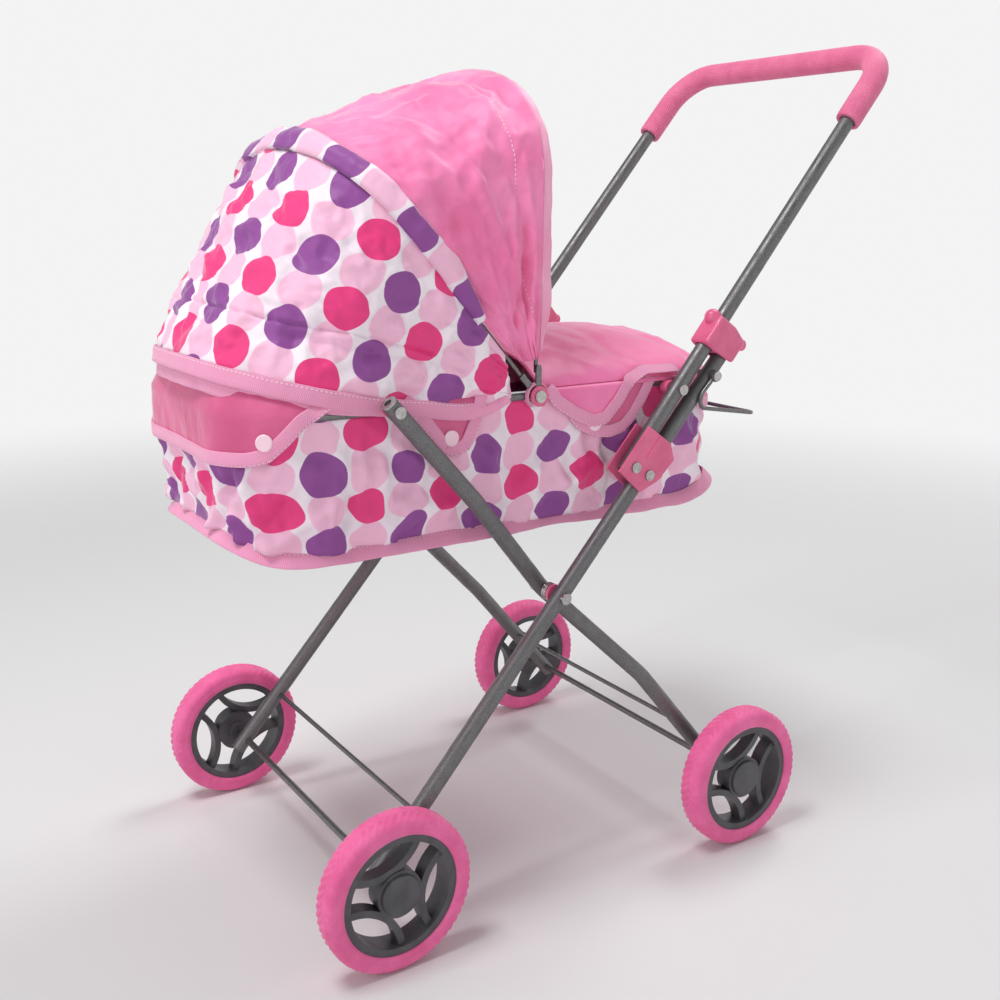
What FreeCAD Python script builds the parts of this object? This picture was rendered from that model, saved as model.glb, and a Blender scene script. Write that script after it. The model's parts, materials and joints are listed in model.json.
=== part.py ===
import FreeCAD, Part
import math
import os

V = FreeCAD.Vector

# ---------------------------------------------------------------- driving dimensions (mm)
# While drawing, y is measured rearwards from the front axle; save() moves the origin
# under the middle of the stroller. +X is the left side, as the person pushing sees it.
ORIGIN_Y = 214.6

TUBE_R = 6.5                # frame tube, 13 mm outside
TUBE_WALL = 1.0
LEG_X = 131.0               # centre plane of the leg and handle tubes
GAP = 0.3                   # clearance between pieces that move on each other
PIN_CLEARANCE = 0.05

WHEEL_R = 60.0
TYRE_WIDTH = 21.0
TYRE_BORE_R = 46.0
FRONT_WHEEL_X = 158.5
REAR_WHEEL_X = 164.0
WHEELBASE = 337.2
AXLE_R = 2.8

LEG_ANGLE = math.radians(48.1)
HANDLE_ANGLE = math.radians(49.6)
X_PIVOT = (165.0, 243.9)    # (y, z) where the legs cross
X_PIVOT_TUBE_X = 106.0      # centre of the cross tube at the crossing
HANDLE_PIVOT = (231.5, 342.0)
RIM_PIVOT = (281.4, 400.6)  # handle tube to rim
RIM_FRONT_PIVOT = (18.5, 406.0)
BAR = (520.0, 681.5)        # centre of the push bar
BAR_BEND = 38.0

RIM_Z = 404.0
RIM_HALF = 112.0
RIM_Y = (-88.0, 358.0)
RIM_CORNER = 60.0
RIM_R = 4.0

HOOD_PIVOT = (150.0, 404.0)
FRONT_BOW_ANGLE = 131.0     # degrees from +Y
REAR_BOW_ANGLE = 90.0
BOW_R = 1.6
ARCH_HALF = 115.2           # half width of the bows
ARCH_CORNER = 78.0
ARCH_STRAIGHT = 163.0
ARCH_TURN = math.radians(72.0)

FABRIC = 1.5
BASE_Z = 299.0


# ---------------------------------------------------------------- helpers
def save(shape, name):
    shape = shape.translated(V(0, -ORIGIN_Y, 0))
    if not shape.isValid():
        print("not valid:", name)
    shape.exportStep("parts/" + name + ".step")


def both_sides(shape):
    """The shape and its mirror image, as separate solids."""
    return Part.makeCompound([shape, mirrored(shape)])


def mirrored(shape):
    return shape.mirror(V(0, 0, 0), V(1, 0, 0))


def rounded_path(points, radius):
    """Wire of straight runs joined by tangent arcs at the inner points."""
    edges = []
    start = points[0]
    for before, corner, after in zip(points, points[1:], points[2:]):
        back = (before - corner).normalize()
        ahead = (after - corner).normalize()
        half = back.getAngle(ahead) / 2
        arc_in = corner + back * (radius / math.tan(half))
        arc_out = corner + ahead * (radius / math.tan(half))
        inward = (back + ahead).normalize()
        arc_mid = corner + inward * (radius / math.sin(half) - radius)
        edges.append(Part.LineSegment(start, arc_in).toShape())
        edges.append(Part.Arc(arc_in, arc_mid, arc_out).toShape())
        start = arc_out
    edges.append(Part.LineSegment(start, points[-1]).toShape())
    return Part.Wire(edges)


def rod(points, r, bend=10.0):
    """Round bar along the points, with bends of one radius."""
    if len(points) == 2:
        run = points[1] - points[0]
        return Part.makeCylinder(r, run.Length, points[0], run)
    path = rounded_path(points, bend)
    circle = Part.Wire(Part.makeCircle(r, points[0], points[1] - points[0]))
    return path.makePipeShell([circle], True, False)


def tube(points, r, wall, bend=30.0):
    return rod(points, r, bend).cut(rod(points, r - wall, bend))


def cylinder_x(r, x0, x1, y, z):
    """Cylinder along X between two x positions."""
    return Part.makeCylinder(r, x1 - x0, V(x0, y, z), V(1, 0, 0))


def along(origin, angle, u, w=0.0):
    """(y, z) of a point u along a sloping tube from origin and w behind it."""
    y = origin[0] + u * math.cos(angle) + w * math.sin(angle)
    z = origin[1] + u * math.sin(angle) - w * math.cos(angle)
    return y, z


def plate_x(points, x0, x1):
    """Flat plate with the (y, z) outline, between two x positions."""
    corners = [V(x0, y, z) for y, z in points]
    outline = Part.makePolygon(corners + [corners[0]])
    return Part.Face(outline).extrude(V(x1 - x0, 0, 0))


def rounded_plan(half, y0, y1, corner, z):
    """Closed wire, a rectangle with round corners seen from above."""
    left, right = -half, half
    diag = corner * (1 - math.sqrt(0.5))
    edges = [
        Part.LineSegment(V(left + corner, y0, z), V(right - corner, y0, z)).toShape(),
        Part.Arc(V(right - corner, y0, z), V(right - diag, y0 + diag, z), V(right, y0 + corner, z)).toShape(),
        Part.LineSegment(V(right, y0 + corner, z), V(right, y1 - corner, z)).toShape(),
        Part.Arc(V(right, y1 - corner, z), V(right - diag, y1 - diag, z), V(right - corner, y1, z)).toShape(),
        Part.LineSegment(V(right - corner, y1, z), V(left + corner, y1, z)).toShape(),
        Part.Arc(V(left + corner, y1, z), V(left + diag, y1 - diag, z), V(left, y1 - corner, z)).toShape(),
        Part.LineSegment(V(left, y1 - corner, z), V(left, y0 + corner, z)).toShape(),
        Part.Arc(V(left, y0 + corner, z), V(left + diag, y0 + diag, z), V(left + corner, y0, z)).toShape(),
    ]
    return Part.Wire(edges)


def plan_ring(grow, thickness, z0, z1):
    """Band standing around the rim, grow mm outside the rim tube's centre line."""
    return standing_band(rim_plan(grow + thickness, z0), rim_plan(grow, z0), z1 - z0)


def standing_band(outer, inner, height):
    """The wall between two closed plans, height mm tall."""
    up = V(0, 0, height)
    return Part.Face(outer).extrude(up).cut(Part.Face(inner).extrude(up))


def rim_plan(grow, z):
    return rounded_plan(RIM_HALF + grow, RIM_Y[0] - grow, RIM_Y[1] + grow, RIM_CORNER + grow, z)


def box(x0, x1, y0, y1, z0, z1):
    return Part.makeBox(x1 - x0, y1 - y0, z1 - z0, V(x0, y0, z0))


# ---------------------------------------------------------------- leg frame
def leg_axis(u, w=0.0):
    """(y, z) on the leg tube, u mm up from the front axle."""
    return along((0.0, WHEEL_R), LEG_ANGLE, u, w)


LEG_FOOT = -12.0
LEG_TOP = 492.0
BRACKET_RIVET_U = 368.0
BRACE_BOLT_U = 470.0
BOLT_R = 2.5
RIVET_R = 2.0
WIRE_R = 1.75
WIRE_OFFSET = 2.6           # wire's centre outside the leg tube's outer side


def leg_tube():
    foot, top = leg_axis(LEG_FOOT), leg_axis(LEG_TOP)
    shape = tube([V(LEG_X, *foot), V(LEG_X, *top)], TUBE_R, TUBE_WALL)
    holes = [(AXLE_R, (0.0, WHEEL_R)), (BOLT_R, X_PIVOT), (RIVET_R, leg_axis(BRACKET_RIVET_U)),
             (RIVET_R, leg_axis(BRACE_BOLT_U))]
    for r, (y, z) in holes:
        shape = shape.cut(cylinder_x(r + PIN_CLEARANCE, LEG_X - 10, LEG_X + 10, y, z))
    return shape


def axle(wheel_x, y):
    end = wheel_x + 5.5
    return cylinder_x(AXLE_R, -end, end, y, WHEEL_R)


def brace_rod(inner_x, y, z):
    return cylinder_x(2.0, -inner_x, inner_x, y, z)


def wire_brace():
    """Bent wire between the leg tops, passing behind the bassinet, with flattened eyes."""
    x = LEG_X + TUBE_R + WIRE_OFFSET
    top = leg_axis(BRACE_BOLT_U - 3.5)
    low = leg_axis(BRACE_BOLT_U - 34, -2)
    back = (376.0, 371.0)
    path = [V(x, *top), V(x, *low), V(x - 14, *back), V(-x + 14, *back), V(-x, *low), V(-x, *top)]
    wire = rod(path, WIRE_R, 9.0)
    eye_y, eye_z = leg_axis(BRACE_BOLT_U)
    for side in (x, -x):
        wire = wire.fuse(cylinder_x(5.0, side - WIRE_R, side + WIRE_R, eye_y, eye_z))
        wire = wire.cut(cylinder_x(RIVET_R + PIN_CLEARANCE, side - 3, side + 3, eye_y, eye_z))
    return wire


def wire_brace_bolt():
    y, z = leg_axis(BRACE_BOLT_U)
    x = LEG_X + TUBE_R + WIRE_OFFSET + WIRE_R
    shank = cylinder_x(RIVET_R, LEG_X - TUBE_R - 1.2, x, y, z)
    head = cylinder_x(4.2, x, x + 2.0, y, z)
    tail = cylinder_x(3.6, LEG_X - TUBE_R - 2.4, LEG_X - TUBE_R - 1.0, y, z)
    return shank.fuse(head).fuse(tail)


def bracket():
    """Moulded channel that holds the leg tube and lets the handle tube swing forwards."""
    outline = [(-12, -11), (33, -11), (36, 17), (28, 29), (6, 27), (-12, 18)]
    points = [along(HANDLE_PIVOT, LEG_ANGLE, u, w) for u, w in outline]
    outer = plate_x(points, LEG_X + TUBE_R + GAP, LEG_X + TUBE_R + GAP + 2.4)
    inner = plate_x(points, LEG_X - TUBE_R - GAP - 2.0, LEG_X - TUBE_R - GAP)
    web = [along(HANDLE_PIVOT, LEG_ANGLE, u, w) for u, w in [(4, 24.2), (29.5, 24.2), (28, 28.5), (6, 26.8)]]
    shape = outer.fuse(inner).fuse(plate_x(web, LEG_X - TUBE_R - GAP - 1, LEG_X + TUBE_R + GAP + 1))
    crease = [along(HANDLE_PIVOT, LEG_ANGLE, u, w) for u, w in [(12, 3.4), (34, 3.4), (34, 5.0), (12, 5.0)]]
    shape = shape.fuse(plate_x(crease, LEG_X + TUBE_R + GAP + 2.2, LEG_X + TUBE_R + GAP + 3.2))
    for y, z in (HANDLE_PIVOT, leg_axis(BRACKET_RIVET_U)):
        shape = shape.cut(cylinder_x(RIVET_R + PIN_CLEARANCE, LEG_X - 20, LEG_X + 20, y, z))
    return shape.removeSplitter()


def bracket_rivet(centre):
    y, z = centre
    x_in = LEG_X - TUBE_R - GAP - 2.0
    x_out = LEG_X + TUBE_R + GAP + 2.4
    shank = cylinder_x(RIVET_R, x_in - 1.3, x_out + 1.6, y, z)
    head = cylinder_x(4.4, x_out, x_out + 1.6, y, z)
    tail = cylinder_x(3.6, x_in - 1.3, x_in, y, z)
    return shank.fuse(head).fuse(tail)


def x_pivot_bolt():
    y, z = X_PIVOT
    shank = cylinder_x(BOLT_R, X_PIVOT_TUBE_X - TUBE_R - 5.2, LEG_X + TUBE_R + 1, y, z)
    head = cylinder_x(4.6, LEG_X + TUBE_R, LEG_X + TUBE_R + 2.6, y, z)
    nut = hexagon_x(4.6, X_PIVOT_TUBE_X - TUBE_R - 4.6, X_PIVOT_TUBE_X - TUBE_R - 0.6, y, z)
    return shank.fuse(head).fuse(nut)


def hexagon_x(r, x0, x1, y, z):
    corners = [(y + r * math.cos(math.radians(a)), z + r * math.sin(math.radians(a))) for a in range(0, 360, 60)]
    return plate_x(corners, x0, x1)


def x_pivot_spacer():
    """Stepped bush between the crossing tubes, with a hole for the bolt."""
    y, z = X_PIVOT
    inner_end = X_PIVOT_TUBE_X + TUBE_R + 1.2
    outer_end = LEG_X - TUBE_R
    bush = cylinder_x(5.0, inner_end, outer_end, y, z).fuse(cylinder_x(7.6, outer_end - 2.6, outer_end, y, z))
    return bush.cut(cylinder_x(BOLT_R + PIN_CLEARANCE, inner_end - 1, outer_end + 1, y, z))


def x_pivot_spring():
    """Torsion spring around the bush, with one leg laid along the cross tube."""
    y, z = X_PIVOT
    wire_r, coil_r = 0.8, 6.6
    helix = Part.makeHelix(1.9, 5.7, coil_r)
    helix.rotate(V(0, 0, 0), V(0, 1, 0), 90)
    helix.translate(V(X_PIVOT_TUBE_X + TUBE_R + 1.9, y, z))
    first = helix.Edges[0]
    start = first.valueAt(first.FirstParameter)
    tangent = first.tangentAt(first.FirstParameter)
    circle = Part.Wire(Part.makeCircle(wire_r, start, tangent))
    return Part.Wire(helix.Edges).makePipeShell([circle], True, True)


# ---------------------------------------------------------------- wheels
HUB_R = 18.0
SPOKE_CENTRE = 60.0
SPOKE_ARC_R = 40.5
SPOKE_WIDTH = 5.5
RIM_INNER_R = 40.5
CAP_R = 15.2


def tyre(x, y):
    """Foam tyre: a ring with rounded shoulders, turned about the axle."""
    half = TYRE_WIDTH / 2
    shoulder = 5.0
    cut = shoulder * (1 - math.sqrt(0.5))
    profile = [
        Part.LineSegment(V(x - half, y, WHEEL_R + TYRE_BORE_R), V(x - half, y, 2 * WHEEL_R - shoulder)).toShape(),
        Part.Arc(V(x - half, y, 2 * WHEEL_R - shoulder), V(x - half + cut, y, 2 * WHEEL_R - cut),
                 V(x - half + shoulder, y, 2 * WHEEL_R)).toShape(),
        Part.LineSegment(V(x - half + shoulder, y, 2 * WHEEL_R), V(x + half - shoulder, y, 2 * WHEEL_R)).toShape(),
        Part.Arc(V(x + half - shoulder, y, 2 * WHEEL_R), V(x + half - cut, y, 2 * WHEEL_R - cut),
                 V(x + half, y, 2 * WHEEL_R - shoulder)).toShape(),
        Part.LineSegment(V(x + half, y, 2 * WHEEL_R - shoulder), V(x + half, y, WHEEL_R + TYRE_BORE_R)).toShape(),
        Part.LineSegment(V(x + half, y, WHEEL_R + TYRE_BORE_R), V(x - half, y, WHEEL_R + TYRE_BORE_R)).toShape(),
    ]
    return Part.Face(Part.Wire(profile)).revolve(V(x, y, WHEEL_R), V(1, 0, 0), 360)


def wheel_rim(x, y, side):
    """Moulded rim: outer ring, hub barrel and three curved spokes bowed towards the hub."""
    half = TYRE_WIDTH / 2 - 1.0
    ring = cylinder_x(TYRE_BORE_R, x - half, x + half, y, WHEEL_R)
    ring = ring.cut(cylinder_x(RIM_INNER_R, x - half - 1, x + half + 1, y, WHEEL_R))
    spokes = []
    for turn in range(3):
        a = math.radians(90 + 120 * turn * side - 20 * side)
        cy = y - SPOKE_CENTRE * math.cos(a)
        cz = WHEEL_R + SPOKE_CENTRE * math.sin(a)
        arc = cylinder_x(SPOKE_ARC_R + SPOKE_WIDTH / 2, x - 5, x + 6.5, cy, cz)
        if side < 0:
            arc = cylinder_x(SPOKE_ARC_R + SPOKE_WIDTH / 2, x - 6.5, x + 5, cy, cz)
        arc = arc.cut(cylinder_x(SPOKE_ARC_R - SPOKE_WIDTH / 2, x - 8, x + 8, cy, cz))
        spokes.append(arc.common(cylinder_x(RIM_INNER_R + 1, x - 8, x + 8, y, WHEEL_R)))
    hub = cylinder_x(HUB_R, x - 7.5, x + 7.5, y, WHEEL_R)
    inner_end = 13.0
    boss = cylinder_x(8.0, x - 7.5 - 5.5, x, y, WHEEL_R) if side > 0 else cylinder_x(8.0, x, x + 7.5 + 5.5, y, WHEEL_R)
    shape = ring.fuse(spokes + [hub, boss])
    shape = shape.cut(cylinder_x(AXLE_R + PIN_CLEARANCE, x - inner_end - 2, x + inner_end + 2, y, WHEEL_R))
    pocket = cylinder_x(9.0, x + 2.0, x + 9, y, WHEEL_R) if side > 0 else cylinder_x(9.0, x - 9, x - 2.0, y, WHEEL_R)
    return shape.cut(pocket).removeSplitter()


def hub_cap(x, y, side):
    """Round snap-in cap with a softly rounded edge."""
    x0 = x + 7.5 * side
    cap = Part.makeCylinder(CAP_R, 2.4, V(x0, y, WHEEL_R), V(side, 0, 0))
    rim_edges = [e for e in cap.Edges if abs(e.BoundBox.XMin - (x0 + 2.4 * side)) < 0.01 and e.BoundBox.YLength > 20]
    return cap.makeFillet(1.0, rim_edges)


def push_nut(x, y, side):
    """Spring cap pressed on the axle's end inside the hub."""
    x0 = x + 2.4 * side
    nut = Part.makeCylinder(6.5, 1.2, V(x0, y, WHEEL_R), V(side, 0, 0))
    return nut.cut(Part.makeCylinder(AXLE_R, 3.0, V(x0 - side, y, WHEEL_R), V(side, 0, 0)))


# ---------------------------------------------------------------- cross frame
CROSS_TOP_BEND = (84.5, 332.6)
CROSS_LOW_BEND = (254.0, 157.5)
CROSS_LOW_X = 127.0
CROSS_BEND_R = 40.0
TUBE_END = 7.5              # tube past the top rivet
REAR_BRACE = (301.0, 102.6)


def cross_points():
    top_angle = math.atan2(RIM_FRONT_PIVOT[1] - CROSS_TOP_BEND[1], RIM_FRONT_PIVOT[0] - CROSS_TOP_BEND[0])
    top = along(RIM_FRONT_PIVOT, top_angle, TUBE_END)
    low_angle = math.atan2(WHEEL_R - CROSS_LOW_BEND[1], WHEELBASE - CROSS_LOW_BEND[0])
    foot = along((WHEELBASE, WHEEL_R), low_angle, 10.0)
    return [V(LEG_X, *top), V(LEG_X, *CROSS_TOP_BEND), V(X_PIVOT_TUBE_X, *X_PIVOT),
            V(CROSS_LOW_X, *CROSS_LOW_BEND), V(CROSS_LOW_X, *foot)]


def cross_tube():
    shape = tube(cross_points(), TUBE_R, TUBE_WALL, CROSS_BEND_R)
    holes = [(RIVET_R, RIM_FRONT_PIVOT), (BOLT_R, X_PIVOT), (AXLE_R, (WHEELBASE, WHEEL_R))]
    for r, (y, z) in holes:
        shape = shape.cut(cylinder_x(r + PIN_CLEARANCE, 80, 150, y, z))
    return shape


def cross_tube_plug():
    """Collared plug in the tube's open top end."""
    points = cross_points()
    out = (points[0] - points[1]).normalize()
    insert = Part.makeCylinder(TUBE_R - TUBE_WALL - 0.05, 3.0, points[0] - out * 3.0, out)
    collar = Part.makeCylinder(TUBE_R, 1.4, points[0], out)
    return insert.fuse(collar).cut(Part.makeCylinder(3.0, 6.0, points[0] - out * 2.0, out))


FRONT_SPACER_X = 120.6


def front_pivot_rivet():
    y, z = RIM_FRONT_PIVOT
    shank = cylinder_x(RIVET_R, FRONT_SPACER_X, LEG_X + TUBE_R + 1, y, z)
    return shank.fuse(cylinder_x(4.4, LEG_X + TUBE_R, LEG_X + TUBE_R + 1.8, y, z))


def spacer(x0, x1, r, centre):
    y, z = centre
    return cylinder_x(r, x0, x1, y, z).cut(cylinder_x(RIVET_R, x0 - 1, x1 + 1, y, z))


# ---------------------------------------------------------------- handle
FOAM_R = 11.0
FOAM_FIT = 0.3              # glue line between the foam's bore and the tube
FOAM_START_U = 366.0


def handle_points(start_u):
    low = along(HANDLE_PIVOT, HANDLE_ANGLE, start_u)
    return [V(LEG_X, *low), V(LEG_X, *BAR), V(-LEG_X, *BAR), V(-LEG_X, *low)]


def handle_tube():
    shape = tube(handle_points(-6.0), TUBE_R, TUBE_WALL, BAR_BEND)
    for y, z in (HANDLE_PIVOT, RIM_PIVOT):
        for side in (1, -1):
            hole = cylinder_x(RIVET_R + PIN_CLEARANCE, LEG_X - 10, LEG_X + 10, y, z)
            shape = shape.cut(hole if side > 0 else mirrored(hole))
    return shape


def handle_foam():
    points = handle_points(FOAM_START_U)
    return rod(points, FOAM_R, BAR_BEND).cut(rod(points, TUBE_R + FOAM_FIT, BAR_BEND))


def rim_pivot_rivet():
    y, z = RIM_PIVOT
    shank = cylinder_x(RIVET_R, RIM_HALF - RIM_R - 1.4, LEG_X + TUBE_R + 1, y, z)
    tail = cylinder_x(3.6, RIM_HALF - RIM_R - 2.0, RIM_HALF - RIM_R - 0.4, y, z)
    return shank.fuse(cylinder_x(4.4, LEG_X + TUBE_R, LEG_X + TUBE_R + 1.8, y, z)).fuse(tail)


# ---------------------------------------------------------------- locking collar
COLLAR_U = (121.0, 147.0)
COLLAR_HALF = 10.6


def collar():
    """Slide on the handle tube; its skirt drops over the leg tube's top."""
    def block(outline, half):
        return plate_x([along(HANDLE_PIVOT, HANDLE_ANGLE, u, w) for u, w in outline], LEG_X - half, LEG_X + half)

    u0, u1 = COLLAR_U
    body = block([(u0 - 2, -9), (u0 - 2, 0), (u0 + 3, 27), (u1 - 1, 27), (u1 + 2, 10), (u1, -9)], COLLAR_HALF)
    body = round_edges(body, 2.2)
    slot = block([(u0 - 8, 9.2), (u0 - 8, 40), (137.5, 40), (137.5, 9.2)], TUBE_R + 0.5)
    knob_y, knob_z = along(HANDLE_PIVOT, HANDLE_ANGLE, u1 - 3, -9.0)
    knob = Part.makeSphere(7.2, V(LEG_X, knob_y, knob_z))
    lobe_y, lobe_z = along(HANDLE_PIVOT, HANDLE_ANGLE, u1 - 3.5, 28.0)
    lobe = Part.makeCylinder(5.2, 2 * COLLAR_HALF - 5, V(LEG_X - COLLAR_HALF + 2.5, lobe_y, lobe_z), V(1, 0, 0))
    lobe = lobe.makeFillet(2.0, [e for e in lobe.Edges if e.BoundBox.XLength < 0.01])
    shape = body.fuse(knob).fuse(lobe).cut(slot)
    low = along(HANDLE_PIVOT, HANDLE_ANGLE, 100)
    high = along(HANDLE_PIVOT, HANDLE_ANGLE, 170)
    return shape.cut(rod([V(LEG_X, *low), V(LEG_X, *high)], TUBE_R + GAP)).removeSplitter()


def round_edges(shape, radius):
    try:
        return shape.makeFillet(radius, shape.Edges)
    except Part.OCCError:
        return shape


# ---------------------------------------------------------------- rim and bassinet
WALL_TOP_HALF = 114.0
WALL_LOW_HALF = 103.0
WALL_TOP_Z = RIM_Z - RIM_R - 3.6
WALL_LOW_Y = (-80.0, 362.0)
WALL_TOP_Y = (-90.0, 360.0)
BOARD_Y = (-56.0, 338.0)
FLAP_GAP = 5.0              # flaps hang this far outside the rim tube's centre line


def rim_tube():
    path = rim_plan(0, RIM_Z)
    start = V(0, RIM_Y[0], RIM_Z)
    circle = Part.Wire(Part.makeCircle(RIM_R, start, V(1, 0, 0)))
    half_right = [e for e in path.Edges]
    first = half_right[0]
    rest = half_right[1:]
    mid = start
    edges = [Part.LineSegment(mid, first.Vertexes[1].Point).toShape()] + rest
    edges.append(Part.LineSegment(first.Vertexes[0].Point, mid).toShape())
    shape = Part.Wire(edges).makePipeShell([circle], True, False)
    for y, z in (RIM_PIVOT, HOOD_PIVOT):
        for side in (1, -1):
            hole = cylinder_x(RIVET_R + PIN_CLEARANCE, RIM_HALF - 8, RIM_HALF + 8, y, z)
            shape = shape.cut(hole if side > 0 else mirrored(hole))
    return shape


def bassinet_wall():
    """Open-topped fabric tub: tapering outer loft less the inner one."""
    def tub(shrink, z_low):
        low = rounded_plan(WALL_LOW_HALF - shrink, WALL_LOW_Y[0] + shrink, WALL_LOW_Y[1] - shrink, 58 - shrink, z_low)
        top = rounded_plan(WALL_TOP_HALF - shrink, WALL_TOP_Y[0] + shrink, WALL_TOP_Y[1] - shrink, 62 - shrink,
                           WALL_TOP_Z)
        return Part.makeLoft([low, top], True, True)

    return tub(0, BASE_Z + 2.5).cut(tub(2.0, BASE_Z + 2.4))


def base_board():
    plan = rounded_plan(WALL_LOW_HALF - 3, *BOARD_Y, 40.0, BASE_Z + 2.6)
    return Part.Face(plan).extrude(V(0, 0, 3.0))


def base_fabric():
    """Fabric underside with the bound edge standing out all round."""
    plan = rounded_plan(104.5, -86.0, 378.0, 62.0, BASE_Z)
    return Part.Face(plan).extrude(V(0, 0, 2.3))


def skirt_piece(y0, y1, z_low, side_points=None):
    """Part of the band around the rim between two y positions, down to z_low, on both sides."""
    band = plan_ring(FLAP_GAP, FABRIC, z_low, RIM_Z + 3.0)
    return band.common(box(-200, 200, y0, y1, z_low - 1, RIM_Z + 10))


def front_liner_flap():
    return skirt_piece(-200, -10, 366.0)


def pointed_flap(y0, y1, z_low):
    """Small pointed tab hanging outside the rim on the left side."""
    x0 = RIM_HALF + FLAP_GAP
    middle = (y0 + y1) / 2
    outline = [(y0, RIM_Z + 3), (y0, RIM_Z - 14), (middle - 12, z_low), (middle + 12, z_low),
               (y1, RIM_Z - 14), (y1, RIM_Z + 3)]
    return plate_x(outline, x0, x0 + FABRIC)


def rear_flap():
    return skirt_piece(302, 500, 376.0)


def boot_cover():
    """Crowned cover over the foot end, a thin vault closed onto the rim."""
    stations = [(160, 112, 31), (205, 112, 33), (250, 112, 34), (295, 112, 32), (330, 104, 26), (352, 84, 16)]
    return vault(stations, 0.0).cut(vault(stations, 1.8))


def vault(stations, shrink):
    wires = []
    base = RIM_Z + RIM_R + 0.6
    for index, (y, half, height) in enumerate(stations):
        if shrink and index in (0, len(stations) - 1):
            y += -0.5 if index == 0 else 0.5
        left, right = V(-half + shrink, y, base), V(half - shrink, y, base)
        crown = Part.Arc(left, V(0, y, base + height - shrink), right).toShape()
        wires.append(Part.Wire([crown, Part.LineSegment(right, left).toShape()]))
    return Part.makeLoft(wires, True, True)


def snap_cap(x, y, z, out):
    """Press-stud cap: a low dome on the flap."""
    cap = Part.makeCylinder(6.2, 1.6, V(x, y, z), out)
    return cap.makeFillet(1.2, [e for e in cap.Edges if (e.CenterOfMass - V(x, y, z)).Length > 1.0
                                and e.Length > 30 and e.CenterOfMass.distanceToPoint(V(x, y, z) + out * 1.6) < 0.1])


def snaps():
    flap_x = RIM_HALF + FLAP_GAP + FABRIC + 0.05
    corner = RIM_CORNER + FLAP_GAP + FABRIC + 0.05
    turn = math.radians(38)
    out = V(math.cos(turn), -math.sin(turn), 0)
    centre = V(RIM_HALF - RIM_CORNER, RIM_Y[0] + RIM_CORNER, 388.0)
    front = centre + out * corner
    caps = [snap_cap(front.x, front.y, front.z, out), snap_cap(flap_x, 72.0, 379.0, V(1, 0, 0)),
            snap_cap(flap_x, 206.0, 377.0, V(1, 0, 0))]
    return Part.makeCompound(caps + [mirrored(c) for c in caps])


# ---------------------------------------------------------------- hood
def arch_edges(grow, foot):
    """Half-hoop in the XZ plane, standing on z=0: straight legs, round corners, gentle crown."""
    half = ARCH_HALF + grow
    corner = ARCH_CORNER + grow
    centre = V(ARCH_HALF - ARCH_CORNER, 0, ARCH_STRAIGHT)
    crown_centre = V(0, 0, ARCH_STRAIGHT - centre.x * math.tan(ARCH_TURN))
    crown_r = corner + centre.x / math.cos(ARCH_TURN)

    def on_corner(angle):
        return centre + V(corner * math.cos(angle), 0, corner * math.sin(angle))

    knee = V(half, 0, ARCH_STRAIGHT)
    shoulder = on_corner(ARCH_TURN)
    top = crown_centre + V(0, 0, crown_r)
    flip = lambda p: V(-p.x, p.y, p.z)
    middle = on_corner(ARCH_TURN / 2)
    return [
        Part.LineSegment(V(half, 0, foot), knee).toShape(),
        Part.Arc(knee, middle, shoulder).toShape(),
        Part.Arc(shoulder, top, flip(shoulder)).toShape(),
        Part.Arc(flip(shoulder), flip(middle), flip(knee)).toShape(),
        Part.LineSegment(flip(knee), V(-half, 0, foot)).toShape(),
    ]


def place_on_pivot(shape, angle):
    """Turns a shape drawn upright on the pivot axis to an angle from +Y and puts it in place."""
    shape.rotate(V(0, 0, 0), V(1, 0, 0), angle - 90)
    shape.translate(V(0, *HOOD_PIVOT))
    return shape


def hood_shell(grow, thickness, angle0, angle1, foot):
    """Arched fabric swept about the hood's pivot axis between two angles."""
    outer = arch_edges(grow + thickness, foot)
    inner = arch_edges(grow, foot)
    bottom = [Part.LineSegment(V(s * (ARCH_HALF + grow), 0, foot), V(s * (ARCH_HALF + grow + thickness), 0, foot))
              .toShape() for s in (1, -1)]
    face = Part.Face(Part.Wire(Part.__sortEdges__(outer + inner + bottom)))
    face = place_on_pivot(face, angle0)
    return face.revolve(V(0, *HOOD_PIVOT), V(1, 0, 0), angle1 - angle0)


def bow(angle, tab_x, bridge):
    """Bent wire hoop with a flattened, drilled tab at each foot."""
    foot = 18.0 if bridge else 10.0
    path = Part.Wire(arch_edges(0, foot))
    circle = Part.Wire(Part.makeCircle(BOW_R, V(ARCH_HALF, 0, foot), V(0, 0, 1)))
    shape = path.makePipeShell([circle], True, False)
    for side in (1, -1):
        tab = Part.makeCylinder(5.0, 1.5, V(tab_x, 0, 0), V(1, 0, 0)).fuse(box(tab_x, tab_x + 1.5, -2.5, 2.5, 0, 22))
        if bridge:
            tab = tab.fuse(box(ARCH_HALF, tab_x + 1.5, -2.0, 2.0, 18, 24))
        tab = tab.cut(Part.makeCylinder(RIVET_R + PIN_CLEARANCE, 6, V(tab_x - 2, 0, 0), V(1, 0, 0)))
        shape = shape.fuse(tab if side > 0 else mirrored(tab))
    return place_on_pivot(shape, angle)


FRONT_TAB_X = 116.3
REAR_TAB_X = 118.2
WASHER_X = 120.0


def hood_pivot_rivet():
    y, z = HOOD_PIVOT
    shank = cylinder_x(RIVET_R, RIM_HALF - RIM_R - 1.4, WASHER_X + 2.4, y, z)
    head = cylinder_x(4.8, WASHER_X + 1.6, WASHER_X + 3.0, y, z)
    tail = cylinder_x(3.6, RIM_HALF - RIM_R - 2.0, RIM_HALF - RIM_R - 0.4, y, z)
    return shank.fuse(head).fuse(tail)


def hood_front():
    shell = hood_shell(2.0, 1.2, FRONT_BOW_ANGLE + 7, 180, 30)
    return shell.cut(box(-200, 200, -200, 400, 300, RIM_Z + 15))


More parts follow.
